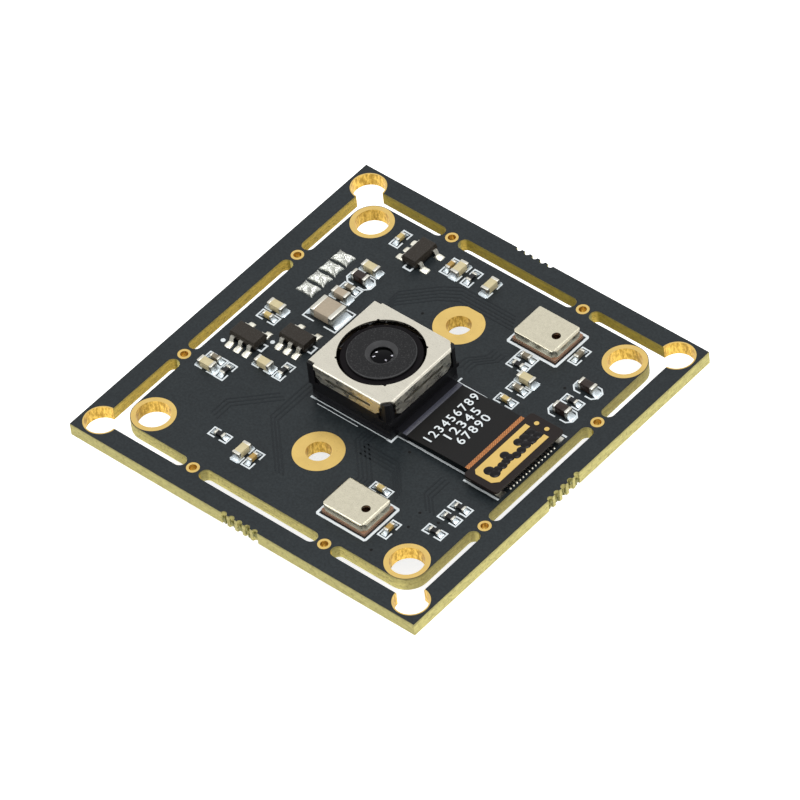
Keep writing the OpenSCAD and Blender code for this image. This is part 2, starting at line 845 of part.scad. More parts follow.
// Every kind of two-terminal part, with its places and size
module each_part_kind() {
    for (p = small_capacitors) at_part(p) { $size = small_size; children(); }
    for (p = wide_capacitors) at_part(p) { $size = wide_size; children(); }
    for (p = resistors) at_part(p) { $size = resistor_size; children(); }
    for (p = ferrites) at_part(p) { $size = ferrite_size; children(); }
    for (p = back_capacitors) at_back_part(p) { $size = small_size; children(); }
    at_part(large_capacitor) { $size = large_size; children(); }
}

module passive_ends() {
    color("silver") each_part_kind() part_ends($size);
}

module passive_solder() {
    color("gainsboro") each_part_kind() part_solder($size);
}

// ---- Wire connector ----

module wire_pin_places() {
    for (i = [0:wire_count - 1])
        translate([wire_x, wire_y + (i - (wire_count - 1) / 2) * pin_pitch, 0]) children();
}

// A dome of solder on each pin's land
module wire_solder_joints() {
    ball_r = 1.1;
    color("gainsboro") wire_pin_places() translate([0, 0, board_t]) intersection() {
        linear_extrude(joint_h) round_rect(joint_l, joint_w, 0.4);
        translate([0, 0, joint_h - ball_r]) sphere(r = ball_r, $fn = 96);
    }
}

// An open shroud under the board, with two key slots in its outer wall
module wire_housing() {
    in_x = wire_body_x - 2 * wire_wall;
    in_y = wire_body_y - 2 * wire_wall;
    color("ivory") difference() {
        translate([wire_x, wire_y, 0]) difference() {
            block([wire_body_x, wire_body_y], -wire_h, 0);
            block([in_x, in_y], -wire_h - 1, -wire_floor);
            for (s = [-1, 1]) translate([-wire_body_x / 2, s * (in_y / 2 - 0.9), 0])
                block([2 * wire_wall + 0.1, 0.8], -wire_h - 1, -1.6);
            translate([wire_body_x / 2, 0, 0]) block([2 * wire_wall + 0.1, 2.6], -wire_h - 1, -2.6);
        }
        wire_pin_places() block([wire_pin_w, wire_pin_w], -2, 1);
    }
}

module wire_pins() {
    color("silver") wire_pin_places() block([wire_pin_w, wire_pin_w], -wire_h + 0.6, board_t);
}

// ---- Chips on the back ----

module processor() {
    color("#242426") translate([proc_x, 0, 0]) difference() {
        block([proc_w, proc_w], -proc_h, -0.03);
        translate([-3.6, 3.6, -proc_h - 1]) cylinder(d = 0.6, h = 1.05, $fn = 24);
    }
}

// Flat terminals that show along the processor's four sides
module processor_lands() {
    color("silver") translate([proc_x, 0, 0]) for (a = quarters) rotate(a) for (i = [0:land_count - 1])
        translate([proc_w / 2 + 0.1, (i - (land_count - 1) / 2) * land_pitch, 0])
            block([0.2, 0.24], -0.2, 0);
}

module flash_memory() {
    color("#2a2a2c") translate([flash_x, flash_y, 0]) mirror([0, 0, 1])
        chip_body(flash_w, flash_w, 0.1, flash_h, 0.12);
}

module flash_leads() {
    z = (0.1 + flash_h) / 2 + lead_t / 2;
    color("silver") translate([flash_x, flash_y, 0]) mirror([0, 0, 1]) for (a = [0, 180]) rotate(a)
        for (i = [0:3]) translate([0, (i - 1.5) * 1.27, 0])
            gull_lead(flash_w / 2 - 0.01, flash_w / 2 + 1.3, z, lead_w);
}

module crystal() {
    color("lightgray") translate([crystal_x, crystal_y, 0]) mirror([0, 0, 1]) {
        linear_extrude(0.35) round_rect(3.2, 2.5, 0.15);
        translate([0, 0, 0.35 - tiny]) linear_extrude(0.4) round_rect(2.9, 2.2, 0.3);
    }
}

board();
mounting_hole_plating();
frame_hole_plating();
holder_hole_plating();
tab_via_plating();
camera_tape();
camera_substrate();
image_sensor();
sensor_holder();
infrared_filter();
coil_base();
steel_cover();
magnet_front();
magnet_rear();
magnet_left();
magnet_right();
voice_coil();
lens_carrier();
upper_spring();
lower_spring();
lens_barrel();
lens_element(0);  // lens_1
lens_element(1);  // lens_2
lens_element(2);  // lens_3
lens_element(3);  // lens_4
lens_element(4);  // lens_5
lens_spacers();
retaining_ring();
flex_tail();
connector_board();
flex_ground_pad();
flex_bare_strip();
plug_housing();
plug_contacts();
socket_housing();
socket_contacts();
socket_fittings();
mic_lid_upper();
mic_base_upper();
mic_lid_lower();
mic_base_lower();
regulator_1();
regulator_2();
regulator_3();
regulator_leads();
capacitor_bodies();
resistor_bodies();
ferrite_bodies();
large_capacitor_body();
passive_ends();
passive_solder();
wire_solder_joints();
wire_housing();
wire_pins();
processor();
processor_lands();
flash_memory();
flash_leads();
crystal();
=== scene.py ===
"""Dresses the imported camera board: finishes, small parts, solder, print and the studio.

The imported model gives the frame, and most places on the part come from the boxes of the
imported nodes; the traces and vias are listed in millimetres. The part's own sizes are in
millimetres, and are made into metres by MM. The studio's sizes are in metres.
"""

import logging
import math
import random
from collections.abc import Sequence
from dataclasses import dataclass
from enum import Enum
from functools import lru_cache

import bmesh
import bpy
from mathutils import Matrix, Vector, noise

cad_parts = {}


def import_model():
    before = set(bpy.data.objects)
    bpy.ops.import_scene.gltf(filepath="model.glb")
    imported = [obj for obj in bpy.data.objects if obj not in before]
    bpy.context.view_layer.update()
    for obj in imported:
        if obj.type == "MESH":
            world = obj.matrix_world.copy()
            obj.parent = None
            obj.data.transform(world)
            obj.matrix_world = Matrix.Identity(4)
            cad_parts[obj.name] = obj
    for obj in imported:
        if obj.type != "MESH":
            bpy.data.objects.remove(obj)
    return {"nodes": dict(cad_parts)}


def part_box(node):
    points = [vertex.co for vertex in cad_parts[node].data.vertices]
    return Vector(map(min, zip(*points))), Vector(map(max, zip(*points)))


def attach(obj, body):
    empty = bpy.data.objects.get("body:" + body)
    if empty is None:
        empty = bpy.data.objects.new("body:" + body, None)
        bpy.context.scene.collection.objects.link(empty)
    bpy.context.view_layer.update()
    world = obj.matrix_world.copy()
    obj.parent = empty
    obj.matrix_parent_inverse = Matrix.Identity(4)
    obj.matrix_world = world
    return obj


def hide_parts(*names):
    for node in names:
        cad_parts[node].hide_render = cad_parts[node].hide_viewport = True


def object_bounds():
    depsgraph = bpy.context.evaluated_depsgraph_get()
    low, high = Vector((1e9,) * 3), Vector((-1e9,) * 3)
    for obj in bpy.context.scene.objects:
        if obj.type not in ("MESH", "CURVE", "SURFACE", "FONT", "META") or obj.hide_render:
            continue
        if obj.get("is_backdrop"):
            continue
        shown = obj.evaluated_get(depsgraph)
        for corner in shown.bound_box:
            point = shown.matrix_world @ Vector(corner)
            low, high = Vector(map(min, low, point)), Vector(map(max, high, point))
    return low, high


MM = 0.001
UP = Vector((0.0, 0.0, 1.0))
SINK = 0.005
SEED = 7
log = logging.getLogger("camera_board")

Colour = tuple[float, float, float]
Point = tuple[float, float]
Socket = bpy.types.NodeSocket


class Side(Enum):
    """A face of the board, by the direction in which it looks."""

    FRONT = 1
    BACK = -1


class Body(Enum):
    """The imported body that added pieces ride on: nothing is added to the moving lens group."""

    ROOT = "root"


# ---- Node trees ----


class Sheet:
    """Builds one shader node tree with short calls."""

    def __init__(self, tree: bpy.types.NodeTree) -> None:
        """Args: tree: the node tree that the calls add to."""
        self.tree = tree

    def add(self, kind: str, inputs: dict | None = None, **settings: object) -> bpy.types.Node:
        """Adds a node.

        Args:
            kind: the node's type name, without its ShaderNode prefix.
            inputs: socket name or number to a constant or a socket that feeds it.
            settings: the node's own properties.

        Returns:
            The new node.
        """
        node = self.tree.nodes.new("ShaderNode" + kind)
        for key, value in settings.items():
            setattr(node, key, value)
        for key, value in (inputs or {}).items():
            self.feed(node.inputs[key], value)
        return node

    def feed(self, socket: Socket, value: object) -> None:
        """Links a socket to another socket, or sets its constant."""
        if isinstance(value, Socket):
            self.tree.links.new(value, socket)
        else:
            socket.default_value = value

    def math(self, operation: str, a: object, b: object = 0.0) -> Socket:
        """Returns the result of one arithmetic step."""
        return self.add("Math", {0: a, 1: b}, operation=operation).outputs[0]

    def mix(self, factor: object, a: object, b: object) -> Socket:
        """Returns a colour between a and b."""
        node = self.add("Mix", {0: factor, 6: rgba(a), 7: rgba(b)}, data_type="RGBA")
        return node.outputs[2]

    def blend(self, factor: object, a: object, b: object) -> Socket:
        """Returns a number between a and b."""
        return self.add("Mix", {0: factor, 2: a, 3: b}).outputs[0]

    def fit(self, value: object, low: float, high: float, to_low: float, to_high: float) -> Socket:
        """Returns value moved from one range to another, and held inside it."""
        return self.add("MapRange", {0: value, 1: low, 2: high, 3: to_low, 4: to_high}).outputs[0]

    def millimetres(self, stretch: Sequence[float] = (1.0, 1.0, 1.0)) -> Socket:
        """Returns the object's own coordinates in millimetres, each stretched by a factor."""
        scale = tuple(s / MM for s in stretch)
        coords = self.add("TexCoord").outputs["Object"]
        return self.add("VectorMath", {0: coords, 1: scale}, operation="MULTIPLY").outputs[0]

    def noise(self, vector: object, scale: object, detail: float = 3.0, rough: float = 0.5) -> Socket:
        """Returns soft noise, from 0 to 1."""
        inputs = {"Vector": vector, "Scale": scale, "Detail": detail, "Roughness": rough}
        return self.add("TexNoise", inputs).outputs["Fac"]

    def bump(self, height: object, depth: float, strength: float = 1.0) -> Socket:
        """Returns a normal raised by height, whose full range is depth."""
        return self.add("Bump", {"Height": height, "Distance": depth, "Strength": strength}).outputs[0]


def rgba(colour: object) -> object:
    """Gives a plain colour its alpha, and leaves a socket alone."""
    if isinstance(colour, tuple) and len(colour) == 3:
        return (*colour, 1.0)
    return colour


def fed(shader: bpy.types.Node, name: str) -> Socket:
    """Returns the socket that now feeds one of a shader's inputs."""
    return shader.inputs[name].links[0].from_socket


def group(
    name: str, inputs: Sequence[str], outputs: Sequence[str]
) -> tuple[Sheet, bpy.types.Node, bpy.types.Node]:
    """Starts a shared shader node group.

    Args:
        name: the group's name.
        inputs: names of its number inputs.
        outputs: names of its number outputs.

    Returns:
        Its sheet, its input node and its output node.
    """
    tree = bpy.data.node_groups.new(name, "ShaderNodeTree")
    for label in inputs:
        tree.interface.new_socket(label, in_out="INPUT", socket_type="NodeSocketFloat")
    for label in outputs:
        tree.interface.new_socket(label, in_out="OUTPUT", socket_type="NodeSocketFloat")
    return Sheet(tree), tree.nodes.new("NodeGroupInput"), tree.nodes.new("NodeGroupOutput")


def upright_face(sheet: Sheet) -> Socket:
    """Returns 1 where the surface is level, and 0 on its walls."""
    normal = sheet.add("SeparateXYZ", {0: sheet.add("TexCoord").outputs["Normal"]})
    return sheet.math("GREATER_THAN", sheet.math("ABSOLUTE", normal.outputs["Z"]), 0.5)


@lru_cache(maxsize=None)
def drift_group() -> bpy.types.NodeTree:
    """Slow and fine variation over a surface, for colour, sheen and relief."""
    sheet, given, made = group("surface_drift", ["Size"], ["Slow", "Fine"])
    place = sheet.millimetres()
    slow_scale = sheet.math("DIVIDE", 1.0, given.outputs["Size"])
    fine_scale = sheet.math("MULTIPLY", slow_scale, 9.0)
    sheet.feed(made.inputs["Slow"], sheet.noise(place, slow_scale, 2.0))
    sheet.feed(made.inputs["Fine"], sheet.noise(place, fine_scale, 4.0, 0.6))
    return sheet.tree


@lru_cache(maxsize=None)
def speck_group() -> bpy.types.NodeTree:
    """Small scattered specks, 1 inside a speck and 0 elsewhere."""
    sheet, given, made = group("scattered_specks", ["Pitch", "Share"], ["Speck"])
    scale = sheet.math("DIVIDE", 1.0, given.outputs["Pitch"])
    cells = sheet.add("TexVoronoi", {"Vector": sheet.millimetres(), "Scale": scale}, feature="F1")
    limit = sheet.math("MULTIPLY", given.outputs["Share"], 0.7)
    sheet.feed(made.inputs["Speck"], sheet.math("LESS_THAN", cells.outputs["Distance"], limit))
    return sheet.tree


@lru_cache(maxsize=None)
def brush_group() -> bpy.types.NodeTree:
    """Fine straight streaks along X, as rolling leaves on sheet metal."""
    sheet, given, made = group("rolled_streaks", ["Pitch"], ["Streak"])
    place = sheet.millimetres((0.12, 1.0, 1.0))
    scale = sheet.math("DIVIDE", 1.0, given.outputs["Pitch"])
    sheet.feed(made.inputs["Streak"], sheet.noise(place, scale, 2.0, 0.7))
    return sheet.tree


# ---- Finishes ----


@dataclass(frozen=True)
class Finish:
    """A plain finish: colour and sheen that drift, over a fine relief."""

    name: str
    colour: Colour
    rough: float = 0.5
    drift: float = 0.15
    drift_size: float = 2.0
    relief: float = 0.004
    metallic: float = 0.0
    specular: float = 0.5

    def material(self) -> bpy.types.Material:
        """Returns the material, made once for each finish."""
        return made_material(self)

    def build(self) -> bpy.types.Material:
        """Builds the material's nodes."""
        material = bpy.data.materials.new(self.name)
        material.use_nodes = True
        material.diffuse_color = rgba(self.colour)
        shader = material.node_tree.nodes["Principled BSDF"]
        shader.inputs["Metallic"].default_value = self.metallic
        shader.inputs["Specular IOR Level"].default_value = self.specular
        self.paint(Sheet(material.node_tree), shader)
        return material

    def paint(self, sheet: Sheet, shader: bpy.types.Node) -> None:
        """Feeds the shader's colour, roughness and normal."""
        slow, fine = self.variation(sheet)
        dark = tuple(c * (1 - self.drift) for c in self.colour)
        light = tuple(min(1.0, c * (1 + self.drift)) for c in self.colour)
        sheet.feed(shader.inputs["Base Color"], sheet.mix(slow, dark, light))
        low, high = self.rough * (1 - self.drift), min(1.0, self.rough * (1 + self.drift))
        sheet.feed(shader.inputs["Roughness"], sheet.fit(fine, 0.3, 0.7, low, high))
        sheet.feed(shader.inputs["Normal"], sheet.bump(fine, self.relief * MM))

    def variation(self, sheet: Sheet) -> tuple[Socket, Socket]:
        """Returns the slow and the fine variation at this finish's size."""
        node = sheet.add("Group", node_tree=drift_group())
        node.inputs["Size"].default_value = self.drift_size
        return node.outputs["Slow"], node.outputs["Fine"]


@lru_cache(maxsize=None)
def made_material(finish: Finish) -> bpy.types.Material:
    """Builds a finish's material at its first use."""
    return finish.build()


@dataclass(frozen=True)
class Metal(Finish):
    """Bare or plated metal, with rolling streaks where it is sheet."""

    metallic: float = 1.0
    streak: float = 0.0
    streak_pitch: float = 0.12

    def paint(self, sheet: Sheet, shader: bpy.types.Node) -> None:
        """Feeds the shader, with streaks in the sheen and relief."""
        super().paint(sheet, shader)
        if not self.streak:
            return
        node = sheet.add("Group", node_tree=brush_group())
        node.inputs["Pitch"].default_value = self.streak_pitch
        streak = node.outputs["Streak"]
        low, high = self.rough * (1 - self.streak), self.rough * (1 + self.streak)
        sheet.feed(shader.inputs["Roughness"], sheet.fit(streak, 0.3, 0.7, low, high))
        sheet.feed(shader.inputs["Normal"], sheet.bump(streak, self.relief * MM))


@dataclass(frozen=True)
class DrawnSteel(Metal):
    """Drawn sheet metal: grained on top, and burnished bright down its walls."""

    wall_gloss: tuple[float, float] = (0.17, 0.50)
    grain: float = 0.10
    grain_pitch: float = 0.10

    def paint(self, sheet: Sheet, shader: bpy.types.Node) -> None:
        """Feeds the shader by which way the surface faces."""
        super().paint(sheet, shader)
        face = upright_face(sheet)
        specks = sheet.noise(sheet.millimetres(), 1 / self.grain_pitch, 2.0, 0.6)
        base = fed(shader, "Base Color")
        low = sheet.mix(1 - self.grain, (0.0, 0.0, 0.0), base)
        colour = sheet.mix(sheet.fit(specks, 0.38, 0.55, 0.0, 1.0), low, base)
        sheet.feed(shader.inputs["Base Color"], sheet.mix(face, base, colour))
        gloss = fed(shader, "Roughness")
        scuffs = sheet.noise(sheet.millimetres((0.6, 0.6, 1.6)), 2.2, 4.0, 0.7)
        wall = sheet.fit(scuffs, 0.30, 0.66, *self.wall_gloss)
        sheet.feed(shader.inputs["Roughness"], sheet.blend(face, wall, gloss))


@dataclass(frozen=True)
class PlatedHole(Metal):
    """Gold plating: smooth on the rings, and rough and dark down the drilled walls."""

    wall: Colour = (0.84, 0.56, 0.12)
    wall_pit: Colour = (0.42, 0.25, 0.04)
    wall_rough: float = 0.42

    def paint(self, sheet: Sheet, shader: bpy.types.Node) -> None:
        """Feeds the shader by which way the surface faces."""
        super().paint(sheet, shader)
        face = upright_face(sheet)
        pits = sheet.noise(sheet.millimetres((1.0, 1.0, 0.4)), 4.6, 4.0, 0.6)
        deep = sheet.mix(sheet.fit(pits, 0.40, 0.62, 0.0, 1.0), self.wall_pit, self.wall)
        ring = fed(shader, "Base Color")
        sheet.feed(shader.inputs["Base Color"], sheet.mix(face, deep, ring))
        gloss = fed(shader, "Roughness")
        sheet.feed(shader.inputs["Roughness"], sheet.blend(face, self.wall_rough, gloss))


@dataclass(frozen=True)
class Hatched(Metal):
    """Bare copper crossed by fine slanted hatching."""

    hatch: Colour = (0.20, 0.07, 0.03)
    hatch_pitch: float = 0.24

    def paint(self, sheet: Sheet, shader: bpy.types.Node) -> None:
        """Feeds the shader, with two slants of dark lines."""
        super().paint(sheet, shader)
        place = sheet.add("SeparateXYZ", {0: sheet.millimetres()})
        lines = []
        for way in ("ADD", "SUBTRACT"):
            run = sheet.math(way, place.outputs["X"], place.outputs["Y"])
            wave = sheet.math("SINE", sheet.math("MULTIPLY", run, math.tau / self.hatch_pitch))
            lines.append(sheet.fit(wave, 0.35, 0.85, 0.0, 1.0))
        dark = sheet.math("MULTIPLY", sheet.math("MAXIMUM", *lines), 0.8)
        base = fed(shader, "Base Color")
        sheet.feed(shader.inputs["Base Color"], sheet.mix(dark, base, self.hatch))


@dataclass(frozen=True)
class Moulding(Finish):
    """Moulded plastic with a spark-eroded grain of light specks."""

    speck: float = 0.0
    speck_pitch: float = 0.14

    def paint(self, sheet: Sheet, shader: bpy.types.Node) -> None:
        """Feeds the shader, with specks lighter than the rest."""
        super().paint(sheet, shader)
        if not self.speck:
            return
        node = sheet.add("Group", node_tree=speck_group())
        node.inputs["Pitch"].default_value = self.speck_pitch
        node.inputs["Share"].default_value = 0.4
        slow, _ = self.variation(sheet)
        base = sheet.mix(slow, self.colour, tuple(c * 0.8 for c in self.colour))
        light = tuple(min(1.0, c + self.speck) for c in self.colour)
        sheet.feed(shader.inputs["Base Color"], sheet.mix(node.outputs["Speck"], base, light))


@dataclass(frozen=True)
class Barrel(Moulding):
    """A moulded barrel, with painted light on its sloped faces, which are also smoother."""

    # Painted light on the sloped faces of the recess.
    lit_slope: Colour = (0.050, 0.050, 0.052)

    def paint(self, sheet: Sheet, shader: bpy.types.Node) -> None:
        """Feeds the shader, with painted light on the slopes, which are also smoother."""
        super().paint(sheet, shader)
        normal = sheet.add("SeparateXYZ", {0: sheet.add("TexCoord").outputs["Normal"]})
        rise = normal.outputs["Z"]
        off_wall = sheet.fit(rise, 0.25, 0.4, 0.0, 1.0)
        off_level = sheet.fit(rise, 0.9, 0.98, 1.0, 0.0)
        lit_slope = sheet.math("MULTIPLY", off_wall, off_level)
        base = fed(shader, "Base Color")
        gloss = fed(shader, "Roughness")
        # Painted light: the sloped faces get a lighter colour than the rest of the barrel.
        sheet.feed(shader.inputs["Base Color"], sheet.mix(lit_slope, base, self.lit_slope))
        sheet.feed(shader.inputs["Roughness"], sheet.blend(lit_slope, gloss, self.rough * 0.6))


@dataclass(frozen=True)
class Plies(Finish):
    """A small laminate, whose cut edge shows copper, glass and core layers."""

    core: Colour = (0.035, 0.016, 0.010)
    metal: Colour = (0.62, 0.42, 0.27)
    ply: float = 0.17

    def paint(self, sheet: Sheet, shader: bpy.types.Node) -> None:
        """Feeds the shader, with layers down the edge."""
        super().paint(sheet, shader)
        place = sheet.add("SeparateXYZ", {0: sheet.millimetres()})
        stray = sheet.math("MULTIPLY", sheet.noise(sheet.millimetres(), 3.0, 2.0), 0.08)
        run = sheet.math("MULTIPLY", sheet.math("ADD", place.outputs["Z"], stray), math.tau / self.ply)
        wave = sheet.math("SINE", run)
        base = fed(shader, "Base Color")
        dark = sheet.mix(sheet.fit(wave, 0.0, 0.6, 0.0, 1.0), base, self.core)
        both = sheet.mix(sheet.fit(wave, -0.95, -0.7, 0.75, 0.0), dark, self.metal)
        sheet.feed(shader.inputs["Base Color"], sheet.mix(upright_face(sheet), both, base))


@dataclass(frozen=True)
class BoardFinish(Finish):
    """Solder mask on both faces, and woven glass laminate on every cut edge."""

    dust: Colour = (0.024, 0.030, 0.032)
    edge: Colour = (0.60, 0.54, 0.20)
    # Painted shade and light on the slot walls inside the frame: walls facing Y get the shaded colour,
    # walls facing X the lit one; the shaded colour also gives the dark specks.
    frame_wall_shade_and_speck: Colour = (0.34, 0.26, 0.032)
    frame_wall_lit: Colour = (0.74, 0.54, 0.11)
    edge_rough: float = 0.75
    # Painted light and shade on the outer and inner walls: gains for walls facing Y and for walls facing
    # X.
    outer: tuple[float, float] = (0.78, 1.0)
    inner: tuple[float, float] = (1.30, 0.78)
    frame_in: float = 16.7
    frame_out: float = 18.5
    thick: float = 1.3
    # Depth of the darker band along the top of each cut edge.
    top_dark_band: float = 0.30

    def paint(self, sheet: Sheet, shader: bpy.types.Node) -> None:
        """Feeds the shader by which way the surface faces."""
        slow, fine = self.variation(sheet)
        face = upright_face(sheet)
        mask = sheet.mix(slow, self.colour, tuple(c * (1 + self.drift) for c in self.colour))
        mask = sheet.mix(sheet.fit(fine, 0.5, 0.8, 0.0, 0.5), mask, self.dust)
        grain = sheet.noise(sheet.millimetres(), 4.5, 4.0, 0.7)
        mask = sheet.mix(sheet.fit(grain, 0.38, 0.60, 0.45, 0.0), mask, (0.002, 0.003, 0.004))
        sheet.feed(shader.inputs["Base Color"], sheet.mix(face, self.laminate(sheet), mask))
        gloss = sheet.fit(fine, 0.3, 0.7, self.rough - 0.05, self.rough + 0.06)
        sheet.feed(shader.inputs["Roughness"], sheet.blend(face, self.edge_rough, gloss))
        grain = sheet.noise(sheet.millimetres((1.0, 1.0, 2.0)), 5.0, 3.0, 0.7)
        relief = sheet.blend(face, sheet.math("MULTIPLY", grain, 8.0), fine)
        sheet.feed(shader.inputs["Normal"], sheet.bump(relief, self.relief * MM))

    def laminate(self, sheet: Sheet) -> Socket:
        """Returns the cut edge's colour: glass plies and specks, under painted light and shade by which
        way each wall faces and whether it stands in the frame's slots.
        """
        layers = sheet.noise(sheet.millimetres((0.5, 0.5, 3.5)), 2.2, 4.0, 0.65)
        plies = sheet.fit(layers, 0.35, 0.65, 0.0, 1.0)
        specks = sheet.fit(sheet.noise(sheet.millimetres(), 4.5, 3.0, 0.7), 0.53, 0.66, 0.0, 0.5)
        place = sheet.add("SeparateXYZ", {0: sheet.millimetres()})
        out = sheet.math(
            "MAXIMUM",
            sheet.math("ABSOLUTE", place.outputs["X"]),
            sheet.math("ABSOLUTE", place.outputs["Y"]),
        )
        inside = sheet.math(
            "MULTIPLY",
            sheet.math("GREATER_THAN", out, self.frame_in),
            sheet.math("LESS_THAN", out, self.frame_out),
        )
        # Painted light and shade: each wall gets a lighter or darker copy of the edge colour by which way
        # it faces, standing in for how the lamps fall on it.
        side = sheet.add("SeparateXYZ", {0: sheet.add("TexCoord").outputs["Normal"]})
        x_facing = sheet.fit(sheet.math("ABSOLUTE", side.outputs["X"]), 0.35, 0.65, 0.0, 1.0)
        tones = []
        for gains in (self.outer, self.inner):
            pair = [tuple(min(0.95, c * gain) for c in self.edge) for gain in gains]
            tones.append(sheet.mix(x_facing, *pair))
        tones.append(sheet.mix(x_facing, self.frame_wall_shade_and_speck, self.frame_wall_lit))
        within = sheet.math("LESS_THAN", out, self.frame_in)
        tone = sheet.mix(inside, sheet.mix(within, tones[0], tones[1]), tones[2])
        ply = sheet.mix(sheet.fit(plies, 0.0, 1.0, 0.34, 0.0), tone, (0.02, 0.015, 0.005))
        colour = sheet.mix(specks, ply, tuple(c * 0.35 for c in self.frame_wall_shade_and_speck))
        # Darker towards the top face of the cut edge.
        top = sheet.fit(place.outputs["Z"], self.thick - self.top_dark_band, self.thick, 0.0, 0.62)
        return sheet.mix(top, colour, tuple(c * 0.25 for c in self.edge))


@dataclass(frozen=True)
class Glass(Finish):
    """A coated lens or filter: dark inside, with a tinted mirror sheen."""

    rough: float = 0.04
    transmission: float = 0.0
    coat: float = 0.6
    sheen: Colour = (0.55, 0.45, 0.75)

    def paint(self, sheet: Sheet, shader: bpy.types.Node) -> None:
        """Feeds the shader, and sets its coating."""
        super().paint(sheet, shader)
        shader.inputs["Transmission Weight"].default_value = self.transmission
        shader.inputs["Coat Weight"].default_value = self.coat
        shader.inputs["Coat Roughness"].default_value = 0.02
        shader.inputs["Specular Tint"].default_value = rgba(self.sheen)


